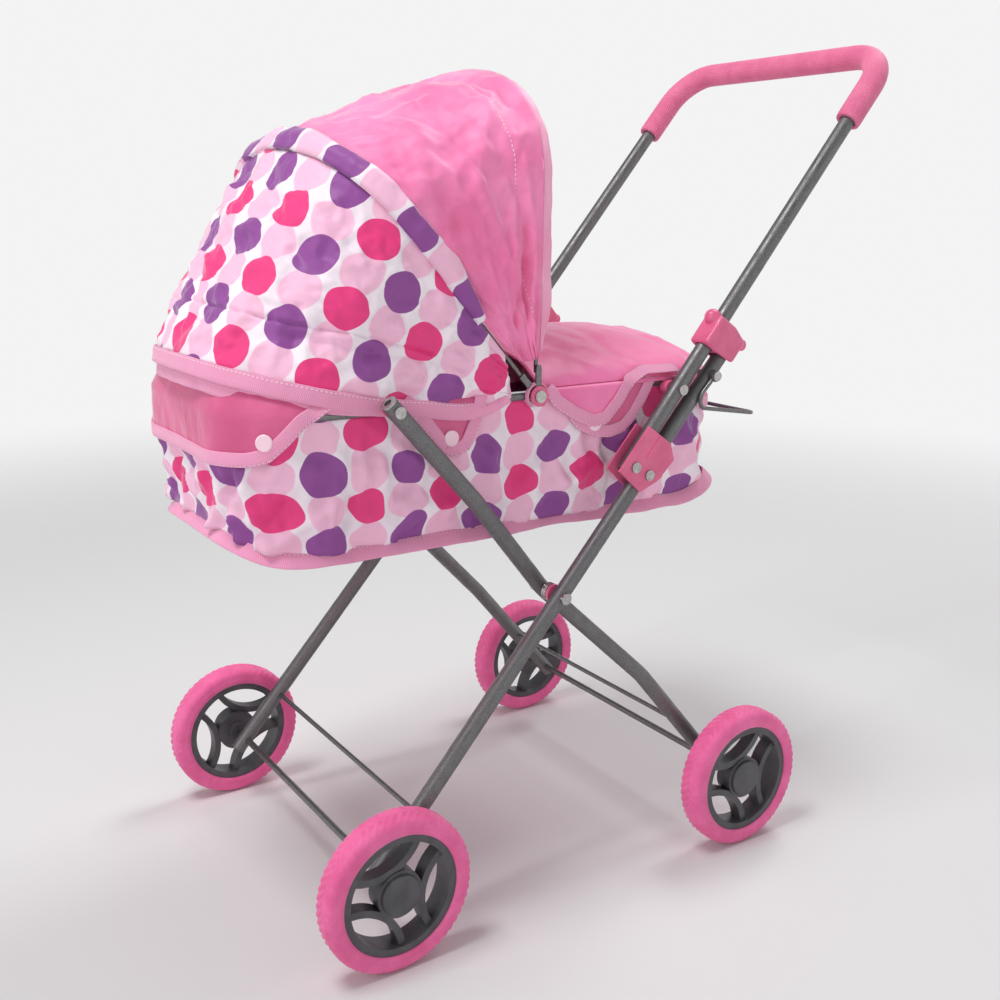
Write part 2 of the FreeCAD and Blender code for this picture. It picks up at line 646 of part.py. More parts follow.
def hood_hem():
    """Bound lower edge of the hood's front panel, around the head end of the rim."""
    outer = rounded_plan(121.0, -100.6, 200.0, 82.0, RIM_Z + 3.6)
    inner = rounded_plan(119.4, -99.0, 198.4, 80.4, RIM_Z + 3.6)
    return standing_band(outer, inner, 11.0).common(box(-200, 200, -200, 0, 300, 500))


def hood_crown():
    return hood_shell(3.7, 1.2, REAR_BOW_ANGLE - 1, FRONT_BOW_ANGLE - 3, 34)


# ---------------------------------------------------------------- everything
def main():
    os.makedirs("parts", exist_ok=True)
    rear_brace_y, rear_brace_z = REAR_BRACE

    save(leg_tube(), "leg_tube_left")
    save(mirrored(leg_tube()), "leg_tube_right")
    save(axle(FRONT_WHEEL_X, 0.0), "front_axle")
    save(brace_rod(LEG_X - TUBE_R, *leg_axis(50.0)), "front_brace_rod")
    save(wire_brace(), "rear_wire_brace")
    save(both_sides(wire_brace_bolt()), "wire_brace_bolts")
    save(bracket(), "handle_bracket_left")
    save(mirrored(bracket()), "handle_bracket_right")
    save(both_sides(bracket_rivet(HANDLE_PIVOT)), "handle_pivot_rivets")
    save(both_sides(bracket_rivet(leg_axis(BRACKET_RIVET_U))), "bracket_rivets")
    save(both_sides(x_pivot_bolt()), "x_pivot_bolts")
    save(both_sides(x_pivot_spacer()), "x_pivot_spacers")
    save(both_sides(x_pivot_spring()), "x_pivot_springs")

    for end, wheel_x, y in (("front", FRONT_WHEEL_X, 0.0), ("rear", REAR_WHEEL_X, WHEELBASE)):
        for side_name, side in (("left", 1), ("right", -1)):
            x = wheel_x * side
            save(tyre(x, y), "tyre_" + end + "_" + side_name)
            save(wheel_rim(x, y, side), "wheel_rim_" + end + "_" + side_name)
            save(hub_cap(x, y, side), "hub_cap_" + end + "_" + side_name)
        save(Part.makeCompound([push_nut(wheel_x, y, 1), push_nut(-wheel_x, y, -1)]), "push_nuts_" + end)

    save(cross_tube(), "cross_tube_left")
    save(mirrored(cross_tube()), "cross_tube_right")
    save(both_sides(cross_tube_plug()), "cross_tube_plugs")
    save(axle(REAR_WHEEL_X, WHEELBASE), "rear_axle")
    save(brace_rod(CROSS_LOW_X - TUBE_R, rear_brace_y, rear_brace_z), "rear_brace_rod")
    save(both_sides(front_pivot_rivet()), "rim_front_rivets")
    save(both_sides(spacer(FRONT_SPACER_X, LEG_X - TUBE_R, 5.0, RIM_FRONT_PIVOT)), "rim_front_spacers")

    save(handle_tube(), "handle_tube")
    save(handle_foam(), "handle_foam")
    save(both_sides(rim_pivot_rivet()), "rim_pivot_rivets")
    save(both_sides(spacer(RIM_HALF + RIM_R + GAP, LEG_X - TUBE_R, 6.0, RIM_PIVOT)), "rim_pivot_spacers")
    save(collar(), "lock_collar_left")
    save(mirrored(collar()), "lock_collar_right")

    save(rim_tube(), "rim_tube")
    save(bassinet_wall(), "bassinet_wall")
    save(base_board(), "base_board")
    save(base_fabric(), "base_fabric")
    save(front_liner_flap(), "liner_flap_front")
    save(both_sides(pointed_flap(34.0, 108.0, 368.0)), "liner_flaps_middle")
    save(both_sides(pointed_flap(165.0, 262.0, 370.0)), "boot_flaps_side")
    save(rear_flap(), "boot_flap_rear")
    save(boot_cover(), "boot_cover")
    save(snaps(), "snap_caps")

    save(hood_front(), "hood_front_panel")
    save(hood_hem(), "hood_hem_binding")
    save(hood_crown(), "hood_crown")
    save(bow(FRONT_BOW_ANGLE, FRONT_TAB_X, False), "hood_bow_front")
    save(bow(REAR_BOW_ANGLE, REAR_TAB_X, True), "hood_bow_rear")
    washer = spacer(WASHER_X, WASHER_X + 1.6, 8.0, HOOD_PIVOT)
    save(both_sides(washer), "hood_pivot_washers")
    save(both_sides(hood_pivot_rivet()), "hood_pivot_rivets")


main()
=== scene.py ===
import json
import math
from math import radians

import bmesh
import bpy
import numpy as np
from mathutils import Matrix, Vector, noise


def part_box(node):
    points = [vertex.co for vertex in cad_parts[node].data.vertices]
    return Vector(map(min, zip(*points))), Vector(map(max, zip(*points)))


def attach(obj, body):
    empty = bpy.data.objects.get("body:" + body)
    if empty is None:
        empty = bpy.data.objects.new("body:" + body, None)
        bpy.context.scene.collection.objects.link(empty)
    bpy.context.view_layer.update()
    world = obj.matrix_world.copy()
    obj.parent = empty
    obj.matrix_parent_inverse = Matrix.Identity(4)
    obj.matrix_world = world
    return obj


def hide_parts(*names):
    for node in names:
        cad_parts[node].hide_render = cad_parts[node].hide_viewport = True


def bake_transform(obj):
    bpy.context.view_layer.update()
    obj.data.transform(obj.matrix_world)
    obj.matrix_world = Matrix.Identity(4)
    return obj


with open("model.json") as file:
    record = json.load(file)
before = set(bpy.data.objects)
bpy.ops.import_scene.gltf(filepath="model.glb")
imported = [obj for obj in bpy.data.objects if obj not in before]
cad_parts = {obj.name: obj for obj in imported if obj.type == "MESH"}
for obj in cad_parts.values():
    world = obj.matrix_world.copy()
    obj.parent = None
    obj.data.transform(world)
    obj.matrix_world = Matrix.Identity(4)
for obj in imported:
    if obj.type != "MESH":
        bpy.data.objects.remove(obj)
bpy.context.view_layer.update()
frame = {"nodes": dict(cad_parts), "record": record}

# Lengths here are millimetres, with y measured rearwards from the front axle, unless a name says metres.
# place() turns them into the frame's metres.
MM = 0.001


def middle(node):
    low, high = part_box(node)
    return (low + high) / 2


FRONT_Y = middle("front_axle").y


def place(points):
    out = np.array(points, float) * MM
    out[..., 1] += FRONT_Y
    return out


def here(metres):
    """The frame's metres as this script's millimetres."""
    return np.array([metres.x, metres.y - FRONT_Y, metres.z]) / MM


def box_here(node):
    """Low and high corner of a node's box in this script's millimetres."""
    return [here(corner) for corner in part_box(node)]


# ---- driving dimensions
LEG_X = float(here(middle("leg_tube_left"))[0])
RIM_LOW, RIM_HIGH = box_here("rim_tube")
RIM_Z = (RIM_LOW[2] + RIM_HIGH[2]) / 2
RIM_R = (RIM_HIGH[2] - RIM_LOW[2]) / 2
RIM_HALF = RIM_HIGH[0] - RIM_R
RIM_CORNER = 60.0
RIM_FRONT = RIM_LOW[1] + RIM_R
RIM_REAR = RIM_HIGH[1] - RIM_R
# u of the rim's middle at the head end and at the foot end
HEAD_U = RIM_FRONT + RIM_CORNER - RIM_CORNER * math.pi / 2 - (RIM_HALF - RIM_CORNER)
FOOT_U = RIM_REAR - RIM_CORNER + RIM_CORNER * math.pi / 2 + (RIM_HALF - RIM_CORNER)

# The hood's hoop: straight up, round a corner, then a flatter crown. Bows stand at angles from +Y.
HOOD_Y, HOOD_Z = here(middle("hood_pivot_rivets"))[1:]
FRONT_BOW = radians(131.0)
REAR_BOW = radians(90.0)
ARCH_HALF = 115.2
ARCH_STRAIGHT = 163.0
ARCH_CORNER = 78.0
ARCH_TURN = radians(72.0)
CROWN_R = ARCH_CORNER + (ARCH_HALF - ARCH_CORNER) / math.cos(ARCH_TURN)
ARCH_TOP = ARCH_STRAIGHT + ARCH_CORNER * ARCH_TURN + CROWN_R * (math.pi / 2 - ARCH_TURN)
CROWN_Z = 247.0             # top of the hoop above its pivots
CROWN_STITCH = 30.0         # from the rear bow to the crown's stitched seam

BIND = 10.5                 # finished width of the flaps' binding tape
DOT_PITCH = 67.0            # between coloured dots in one row
DOT_ROWS = 55.0             # between rows of one colour
DOT_R = 15.6
FABRIC = 0.9                # thickness of a single cloth
WELD = 0.00002              # metres: points closer than this are one point


# ---- small sums
def clamp(value):
    return min(1.0, max(0.0, value))


def drift(a, b, c):
    """Smooth noise between -1 and 1."""
    return noise.noise(Vector((a, b, c)))


def bell(value, centre, width):
    """1 at centre, close to 0 at twice width from it."""
    return math.exp(-((value - centre) / width) ** 2)


def unit(rows):
    return rows / np.linalg.norm(rows, axis=1)[:, None]


def shares(count):
    return [k / count for k in range(count + 1)]


def run_along(points):
    """Distance travelled from the first point to each point."""
    return np.concatenate([[0], np.cumsum(np.linalg.norm(np.diff(points, axis=0), axis=1))])


# ---- mesh helpers
def add_object(name, data):
    obj = bpy.data.objects.new(name, data)
    bpy.context.scene.collection.objects.link(obj)
    return obj


def smooth(obj):
    obj.data.polygons.foreach_set("use_smooth", [True] * len(obj.data.polygons))


def surface(name, points, cloth, closed=False):
    """Grid of points (rows, columns, 3) in mm with cloth coordinates (rows, columns, 2) in mm."""
    points = place(points)
    rows, columns = points.shape[:2]
    faces, uvs = [], []
    for i in range(rows - 1):
        this_row, next_row = i * columns, (i + 1) * columns
        for j in range(columns if closed else columns - 1):
            k = (j + 1) % columns
            faces.append((this_row + j, this_row + k, next_row + k, next_row + j))
            uvs += [cloth[i][j], cloth[i][j + 1], cloth[i + 1][j + 1], cloth[i + 1][j]]
    mesh = bpy.data.meshes.new(name)
    mesh.from_pydata(points.reshape(-1, 3).tolist(), [], faces)
    mesh.uv_layers.new(name="cloth").data.foreach_set("uv", np.array(uvs, np.float32).ravel())
    obj = add_object(name, mesh)
    smooth(obj)
    weld(obj)
    return obj


def weld(obj):
    """Joins points that fall together, as at a pole or where a strip meets its own start."""
    mesh = bmesh.new()
    mesh.from_mesh(obj.data)
    bmesh.ops.remove_doubles(mesh, verts=mesh.verts, dist=WELD)
    mesh.to_mesh(obj.data)
    mesh.free()


def apply_modifiers(obj):
    bpy.context.view_layer.update()
    graph = bpy.context.evaluated_depsgraph_get()
    mesh = bpy.data.meshes.new_from_object(obj.evaluated_get(graph))
    obj.modifiers.clear()
    obj.data = mesh
    smooth(obj)


def thicken(obj, thickness, offset=-1.0, two_faced=False):
    solid = obj.modifiers.new("thickness", "SOLIDIFY")
    solid.thickness = thickness * MM
    solid.offset = offset
    if two_faced:
        solid.material_offset = 1
    apply_modifiers(obj)


def loft(name, down, across, at, closed=False):
    """Surface through at(t, a), a point and its cloth coordinates, for t in down and a in across.
    A closed loft's last a is its first one again."""
    grid = [[at(t, a) for a in across] for t in down]
    cloth = [[mark for _, mark in row] for row in grid]
    points = [[point for point, _ in (row[:-1] if closed else row)] for row in grid]
    return surface(name, points, cloth, closed)


def cloth_sheet(name, down, across, at, thickness=FABRIC, offset=0.0):
    """Loft with a cloth's thickness."""
    piece = loft(name, down, across, at)
    thicken(piece, thickness, offset)
    return piece


def finish_piece(obj, materials, body=None, replaces=()):
    for material in materials:
        obj.data.materials.append(material)
    if body:
        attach(obj, body)
    if replaces:
        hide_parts(*replaces)
    return obj


def sweep(name, centre, normal, width, thickness, wave):
    """Flat tape along centre (n, 3), lying against normal (n, 3), with round edges and closed ends."""
    centre = np.array(centre, float)
    normal = np.array(normal, float)
    along = unit(np.gradient(centre, axis=0))
    across = unit(np.cross(along, normal))
    normal = np.cross(across, along)
    turns = np.linspace(0, 2 * math.pi, 14, endpoint=False)
    rows, cloth = [], []
    for p, n, a, s in zip(centre, normal, across, run_along(centre)):
        lift = wave * drift(s / 11.0, 0.3, 7.0)
        lean = 0.25 * wave * drift(s / 17.0, 4.3, 2.0)
        row = []
        for t in turns:
            flat = math.copysign(abs(math.cos(t)) ** 0.5, math.cos(t)) * width / 2
            high = math.copysign(abs(math.sin(t)) ** 0.8, math.sin(t)) * thickness / 2
            row.append(p + a * (flat + lean) + n * (high + lift * (0.4 + flat / width)))
        rows.append(row)
        cloth.append([(s, width / 2 * math.cos(t)) for t in turns] + [(s, width / 2)])
    if np.allclose(centre[0], centre[-1]):
        rows[-1] = rows[0]
    else:
        rows = [[centre[0]] * len(turns)] + rows + [[centre[-1]] * len(turns)]
        cloth = [cloth[0]] + cloth + [cloth[-1]]
    return surface(name, rows, cloth, closed=True)


def binding(name, path, out, width, thickness, wave, replaces=()):
    """A sweep of binding tape that rides the rim."""
    return finish_piece(sweep(name, path, out, width, thickness, wave), [TAPE], "rim", replaces)


def outline(knots, count):
    """Smooth curve through a few (u, z) knots, as arrays."""
    knots = np.array(knots, float)
    run = run_along(knots)
    fine = np.linspace(0, run[-1], count)
    out = np.stack([np.interp(fine, run, column) for column in knots.T], 1)
    for _ in range(3):
        out[1:-1] = (out[:-2] + 2 * out[1:-1] + out[2:]) / 4
    return out


def ridge(u, v, size, seed):
    """Sharp-crested crumple between -1 and 1, mostly small."""
    coarse = drift(u / size, v / size, seed)
    fine = drift(u / size * 2.3 + 5.1, v / size * 2.3, seed + 3.7)
    return (0.5 - abs(coarse) * 2.2) * 0.7 + (0.5 - abs(fine) * 2.2) * 0.3


def folds(u, v, lines):
    """Sum of straight folds (u0, v0, u1, v1, half width, height) on the cloth."""
    total = 0.0
    for u0, v0, u1, v1, half, height in lines:
        du, dv = u1 - u0, v1 - v0
        t = ((u - u0) * du + (v - v0) * dv) / (du * du + dv * dv)
        side = abs((u - u0) * dv - (v - v0) * du) / math.hypot(du, dv)
        beyond = max(0.0, -t, t - 1) * math.hypot(du, dv)
        total += height * math.exp(-(side / half) ** 1.6) * bell(beyond, 0.0, 1.6 * half)
    return total


# ---- rim plan
def rim_at(u, grow=0.0):
    """Point xy and outward normal xy at u along the rim.
    On the left side u is y, and it runs on round both ends to the right side."""
    if u < HEAD_U or u > FOOT_U:
        (x, y), (nx, ny) = rim_at(2 * (HEAD_U if u < HEAD_U else FOOT_U) - u, grow)
        return (-x, y), (-nx, ny)
    front, rear = RIM_FRONT + RIM_CORNER, RIM_REAR - RIM_CORNER
    if front <= u <= rear:
        return (RIM_HALF + grow, u), (1.0, 0.0)
    way = -1 if u < front else 1
    past, corner_y, end_y = (front - u, front, RIM_FRONT) if u < front else (u - rear, rear, RIM_REAR)
    inner = RIM_HALF - RIM_CORNER
    turn = past / RIM_CORNER
    if turn > math.pi / 2:
        return (inner - (past - RIM_CORNER * math.pi / 2), end_y + way * grow), (0.0, float(way))
    nx, ny = math.cos(turn), way * math.sin(turn)
    return (inner + (RIM_CORNER + grow) * nx, corner_y + (RIM_CORNER + grow) * ny), (nx, ny)


def rim_point(u, grow, z, side):
    (x, y), _ = rim_at(u, grow)
    return np.array([x * side, y, z])


def rim_normal(u, side):
    _, (nx, ny) = rim_at(u)
    return np.array([nx * side, ny, 0.0])


# ---- hood arch
def arch_at(s, grow=0.0):
    """(x, height) on the bow's hoop at s from the left foot, mirrored past the crown."""
    if s > ARCH_TOP:
        x, h = arch_at(2 * ARCH_TOP - s, grow)
        return -x, h
    inner = ARCH_HALF - ARCH_CORNER
    if s < ARCH_STRAIGHT:
        return ARCH_HALF + grow, s
    turn = (s - ARCH_STRAIGHT) / ARCH_CORNER
    if turn < ARCH_TURN:
        r = ARCH_CORNER + grow
        return inner + r * math.cos(turn), ARCH_STRAIGHT + r * math.sin(turn)
    turn = ARCH_TURN + (s - ARCH_STRAIGHT - ARCH_CORNER * ARCH_TURN) / CROWN_R
    r = CROWN_R + grow
    return r * math.cos(turn), ARCH_STRAIGHT - inner * math.tan(ARCH_TURN) + r * math.sin(turn)


def hoop_run(first, lead):
    """s and its distance from the nearer foot, at a share of the hoop without first mm at both feet."""
    s = first + (2 * ARCH_TOP - 2 * first) * lead
    return s, min(s, 2 * ARCH_TOP - s)


def hood_point(s, angle, grow=0.0, pull=1.0):
    """Point of the hood at s along the hoop and angle from +Y about the hood's pivot."""
    x, h = arch_at(s, grow)
    h *= pull
    return np.array([x, HOOD_Y + h * math.cos(angle), HOOD_Z + h * math.sin(angle)])


def pulled_straight(angle, first, last, share):
    """Share of the hoops' radius that is left where cloth is stretched between two of them."""
    half = abs(last - first) / 2
    return 1 - share * (1 - math.cos(half) / math.cos(angle - (first + last) / 2))


# ---- material helpers
def rgb(red, green, blue):
    """Linear colour of an sRGB one in 0 to 255."""
    def one(c):
        c /= 255.0
        return c / 12.92 if c <= 0.04045 else ((c + 0.055) / 1.055) ** 2.4
    return one(red), one(green), one(blue), 1.0


class Paint:
    """One node material, with short names for the nodes that it needs."""

    def __init__(self, name, colour, roughness, metallic=0.0):
        self.material = bpy.data.materials.new(name)
        self.material.use_nodes = True
        self.tree = self.material.node_tree
        self.shader = self.tree.nodes["Principled BSDF"]
        self.set("Base Color", colour)
        self.set("Roughness", roughness)
        self.set("Metallic", metallic)

    def set(self, socket, value):
        self.shader.inputs[socket].default_value = value

    def node(self, kind, **settings):
        made = self.tree.nodes.new(kind)
        for key, value in settings.items():
            setattr(made, key, value)
        return made

    def join(self, source, target):
        self.tree.links.new(source, target)

    def feed(self, target, value):
        if isinstance(value, bpy.types.NodeSocket):
            self.join(value, target)
        else:
            target.default_value = value

    def wire(self, made, **sockets):
        """Feeds a node's named sockets, with _ for the space in a name."""
        for name, value in sockets.items():
            self.feed(made.inputs[name.replace("_", " ")], value)
        return made

    def math(self, operation, a, b=0.0, c=0.0):
        made = self.node("ShaderNodeMath", operation=operation)
        for target, value in zip(made.inputs, (a, b, c)):
            self.feed(target, value)
        return made.outputs[0]

    def band(self, value, start, end):
        """0 at start to 1 at end."""
        made = self.node("ShaderNodeMapRange", interpolation_type="SMOOTHSTEP")
        return self.wire(made, Value=value, From_Min=start, From_Max=end).outputs["Result"]

    def mix(self, share, a, b):
        made = self.node("ShaderNodeMix", data_type="RGBA")
        self.feed(made.inputs["Factor"], share)
        colours = [i for i in made.inputs if i.type == "RGBA"]
        self.feed(colours[0], a)
        self.feed(colours[1], b)
        return [o for o in made.outputs if o.type == "RGBA"][0]

    def base(self, colour):
        self.join(colour, self.shader.inputs["Base Color"])

    def split(self, vector):
        made = self.node("ShaderNodeSeparateXYZ")
        self.join(vector, made.inputs[0])
        return made.outputs

    def place(self):
        return self.node("ShaderNodeTexCoord").outputs["Object"]

    def cloth(self):
        return self.node("ShaderNodeUVMap", uv_map="cloth").outputs["UV"]

    def noise(self, where, scale, detail=3.0, rough=0.55, kind="FBM"):
        made = self.node("ShaderNodeTexNoise", noise_type=kind)
        return self.wire(made, Vector=where, Scale=scale, Detail=detail, Roughness=rough).outputs["Fac"]

    def two_tone(self, where, scale, dark, light, detail=4.0):
        """Slow drift between two close colours."""
        return self.mix(self.band(self.noise(where, scale, detail), 0.3, 0.7), dark, light)

    def bump(self, heights):
        """heights: (value, strength, distance in mm), the first the finest."""
        normal = None
        for value, strength, distance in heights:
            made = self.node("ShaderNodeBump")
            self.wire(made, Strength=strength, Distance=distance * MM, Height=value)
            if normal is not None:
                self.join(normal, made.inputs["Normal"])
            normal = made.outputs["Normal"]
        self.join(normal, self.shader.inputs["Normal"])


# ---- materials
# Cloth coordinates are millimetres; the scales of noise in object space are per metre.
WEAVE_PITCH = 0.9
STITCH_HALF = 1.7           # half of one stitch and its gap
PRINT_WANDER = 6.0          # how far the print's dots stray from their lattice
PRINT_EDGE = 0.25           # half width of a dot's inked edge


def weave(paint, cloth):
    """Plain weave height from the cloth's own coordinates."""
    split = paint.split(cloth)
    turn = 2 * math.pi / WEAVE_PITCH
    warp = paint.math("SINE", paint.math("MULTIPLY", split["X"], turn))
    weft = paint.math("SINE", paint.math("MULTIPLY", split["Y"], turn))
    return paint.math("MULTIPLY", warp, weft)


def cloth_finish(paint, cloth):
    """Sheen of a synthetic cloth, with weave, slubs and soft crumples as bumps, finest first."""
    paint.set("Sheen Weight", 0.6)
    paint.set("Sheen Roughness", 0.3)
    paint.set("Specular IOR Level", 0.35)
    where = paint.place()
    paint.bump([
        (weave(paint, cloth), 0.15, 0.05),
        (paint.noise(where, 160.0, 3.0), 0.35, 0.6),
        (paint.noise(where, 34.0, 2.0, 0.5, "RIDGED_MULTIFRACTAL"), 0.8, 2.4),
    ])


def plain_fabric(name, light, dark, stitch_at=None):
    """One-coloured cloth, stitched along v = stitch_at if that is given."""
    paint = Paint(name, light, 0.5)
    cloth = paint.cloth()
    colour = paint.two_tone(paint.place(), 22.0, dark, light)
    if stitch_at is not None:
        colour = stitches(paint, cloth, colour, stitch_at, rgb(255, 205, 225))
    paint.base(colour)
    cloth_finish(paint, cloth)
    return paint.material


def stitches(paint, cloth, colour, at, thread):
    """Dashed thread along the cloth's u at one v, with painted shade darkening the cloth beside it along
    the seam.
    """
    split = paint.split(cloth)
    off = paint.math("ABSOLUTE", paint.math("SUBTRACT", split["Y"], at))
    beat = paint.math("ABSOLUTE", paint.math("WRAP", split["X"], STITCH_HALF, -STITCH_HALF))
    line = paint.math("MULTIPLY", paint.band(off, 0.75, 0.35), paint.band(beat, 1.3, 1.0))
    # painted shade: the cloth within 1.6 mm of the seam line is darkened, as if in the seam's groove
    seam = paint.band(off, 1.6, 0.2)
    darker = paint.mix(paint.math("MULTIPLY", seam, 0.35), colour, rgb(205, 70, 125))
    return paint.mix(line, darker, thread)


def dot_mask(paint, split, u0, v0, r, blur):
    """1 inside the dots of one lattice."""
    u = paint.math("WRAP", paint.math("SUBTRACT", split["X"], u0), DOT_PITCH / 2, -DOT_PITCH / 2)
    v = paint.math("WRAP", paint.math("SUBTRACT", split["Y"], v0), DOT_ROWS / 2, -DOT_ROWS / 2)
    square = paint.math("ADD", paint.math("MULTIPLY", u, u), paint.math("MULTIPLY", v, v))
    return paint.band(paint.math("SQRT", square), r + blur, r - blur)


def dotted_fabric():
    """White cloth with pale dots, overprinted with rows of hot pink and purple ones."""
    paint = Paint("dot_fabric", (0.9, 0.8, 0.87, 1), 0.5)
    cloth = paint.cloth()
    warp = paint.node("ShaderNodeTexNoise", noise_dimensions="2D")
    paint.wire(warp, Vector=cloth, Scale=0.035, Detail=1.0)
    shift = paint.node("ShaderNodeVectorMath", operation="MULTIPLY_ADD")
    paint.join(warp.outputs["Color"], shift.inputs[0])
    shift.inputs[1].default_value = (PRINT_WANDER, PRINT_WANDER, 0.0)
    shift.inputs[2].default_value = (-PRINT_WANDER / 2, -PRINT_WANDER / 2, 0.0)
    moved = paint.node("ShaderNodeVectorMath", operation="ADD")
    paint.join(cloth, moved.inputs[0])
    paint.join(shift.outputs[0], moved.inputs[1])
    split = paint.split(moved.outputs[0])

    half_u, half_v = DOT_PITCH / 2, DOT_ROWS / 2
    colour = paint.mix(paint.band(paint.noise(paint.place(), 20.0), 0.35, 0.65),
                       rgb(240, 224, 236), rgb(250, 238, 247))
    pale = rgb(247, 182, 214)
    for u0, v0 in ((half_u, 0.0), (0.0, half_v)):
        disc = dot_mask(paint, split, u0, v0, DOT_R - 0.4, 0.9)
        colour = paint.mix(paint.math("MULTIPLY", disc, 0.85), colour, pale)
    for u0, v0, tint in ((0.0, 0.0, rgb(236, 62, 132)), (half_u, half_v, rgb(146, 76, 152))):
        colour = paint.mix(dot_mask(paint, split, u0, v0, DOT_R, PRINT_EDGE), colour, tint)
    paint.base(colour)
    cloth_finish(paint, cloth)
    return paint.material


def binding_tape():
    """Herringbone tape with a stitch line near one edge."""
    paint = Paint("binding", rgb(240, 158, 196), 0.75)
    cloth = paint.cloth()
    split = paint.split(cloth)
    zigzag = paint.math("ABSOLUTE", paint.math("WRAP", split["Y"], 2.2, -2.2))
    slope = paint.math("ADD", split["X"], zigzag)
    rib = paint.math("SINE", paint.math("MULTIPLY", slope, 2 * math.pi / 1.5))
    colour = paint.mix(paint.band(rib, -0.6, 0.8), rgb(230, 138, 180), rgb(245, 172, 206))
    colour = stitches(paint, cloth, colour, 3.6, rgb(250, 204, 226))
    paint.base(colour)
    paint.set("Sheen Weight", 0.3)
    paint.bump([(rib, 0.5, 0.15), (paint.noise(paint.place(), 220.0), 0.4, 0.4)])
    return paint.material


def frame_paint():
    """Hammered metallic paint, with darker specks and lighter flow marks."""
    paint = Paint("frame_tube", rgb(128, 128, 130), 0.34, 0.7)
    where = paint.place()
    fleck = paint.noise(where, 1300.0, 2.0)
    colour = paint.mix(paint.band(fleck, 0.3, 0.7), rgb(102, 101, 102), rgb(130, 129, 131))
    paint.base(colour)
    paint.join(paint.band(paint.noise(where, 90.0), -0.55, 1.6), paint.shader.inputs["Roughness"])
    paint.bump([(fleck, 0.1, 0.05), (paint.noise(where, 500.0), 0.08, 0.1)])
    return paint.material


def steel(name, colour, roughness):
    """Bare or plated metal."""
    paint = Paint(name, colour, roughness, 0.95)
    where = paint.place()
    darker = tuple(0.7 * c for c in colour[:3]) + (1.0,)
    paint.base(paint.two_tone(where, 400.0, darker, colour))
    paint.bump([(paint.noise(where, 1500.0, 2.0), 0.15, 0.05)])
    return paint.material


def moulded(name, light, dark, roughness, grain=1200.0, coat=0.0):
    """Moulded plastic: slight colour drift and a fine grain."""
    paint = Paint(name, light, roughness)
    where = paint.place()
    paint.base(paint.two_tone(where, 60.0, dark, light))
    paint.set("Coat Weight", coat)
    paint.bump([(paint.noise(where, grain, 2.0), 0.25, 0.06), (paint.noise(where, 140.0), 0.12, 0.4)])
    return paint.material


def foam(name, light, dark, grain):
    """Closed-cell foam: matt, with small pores whose pits are darkened as painted shade."""
    paint = Paint(name, light, 0.62)
    where = paint.place()
    pores = paint.wire(paint.node("ShaderNodeTexVoronoi"), Vector=where, Scale=grain).outputs["Distance"]
    # painted shade: the colour falls to the dark tone in the middle of each pore, where its pit lies
    share = paint.band(pores, 0.0, 0.55)
    tone = paint.two_tone(where, 50.0, dark, light, 3.0)
    paint.base(paint.mix(share, dark, tone))
    paint.set("Sheen Weight", 0.15)
    paint.bump([(pores, 0.3, 0.2), (paint.noise(where, 300.0), 0.25, 0.3)])
    return paint.material


DOTS = dotted_fabric()
PINK = plain_fabric("pink_fabric", rgb(250, 134, 186), rgb(240, 112, 166))
# crown cloth: the pink cloth painted lighter as painted top light and sheen, with its stitched seam
CROWN_PINK_PAINTED_LIGHT = plain_fabric("crown_fabric_painted_light", rgb(251, 146, 194), rgb(241, 120, 172), CROWN_STITCH)
DEEP_PINK = plain_fabric("deep_pink_fabric", rgb(222, 104, 150), rgb(206, 86, 134))
PALE_PINK = plain_fabric("pale_lining", rgb(250, 178, 208), rgb(245, 158, 194))
TAPE = binding_tape()
TYRE_FOAM = foam("tyre_foam", rgb(244, 112, 170), rgb(230, 92, 152), 900.0)
HANDLE_FOAM = foam("handle_foam", rgb(234, 122, 162), rgb(220, 102, 146), 800.0)
PINK_PLASTIC = moulded("pink_plastic", rgb(232, 108, 150), rgb(220, 94, 138), 0.38, coat=0.15)
CHARCOAL = moulded("charcoal_plastic", rgb(84, 83, 88), rgb(68, 67, 71), 0.42)
SNAP = moulded("snap_plastic", rgb(252, 216, 230), rgb(248, 202, 220), 0.28, coat=0.3)
BOARD = moulded("base_board", rgb(236, 226, 214), rgb(216, 202, 188), 0.85, grain=500.0)
FRAME_TUBE = frame_paint()
FRAME_WIRE = steel("frame_wire", rgb(132, 131, 132), 0.38)
BRIGHT = steel("fasteners", rgb(196, 194, 192), 0.24)


def paint_frame():
    """Gives every CAD node that stays visible its finish, by its slot in the record."""
    finishes = {"frame_tube": FRAME_TUBE, "frame_wire": FRAME_WIRE, "fasteners": BRIGHT,
                "pink_plastic": PINK_PLASTIC, "handle_foam": HANDLE_FOAM, "tyre_foam": TYRE_FOAM,
                "charcoal_plastic": CHARCOAL, "dot_fabric": DOTS, "pink_fabric": PINK, "binding": TAPE,
                "snap_plastic": SNAP, "base_board": BOARD}
    for subpart in frame["record"]["subparts"]:
        obj = frame["nodes"][subpart["node"]]
        obj.data.materials.clear()
        obj.data.materials.append(finishes[subpart["material_slot"]])


# ---- tyres
TYRE_BORE = 46.2
TYRE_SHOULDER = 5.0         # radius of the tyre's edges
TREAD_DEPTH = 1.1
TREAD_LEAN = 7.5            # width over which a chevron moves on by one lug


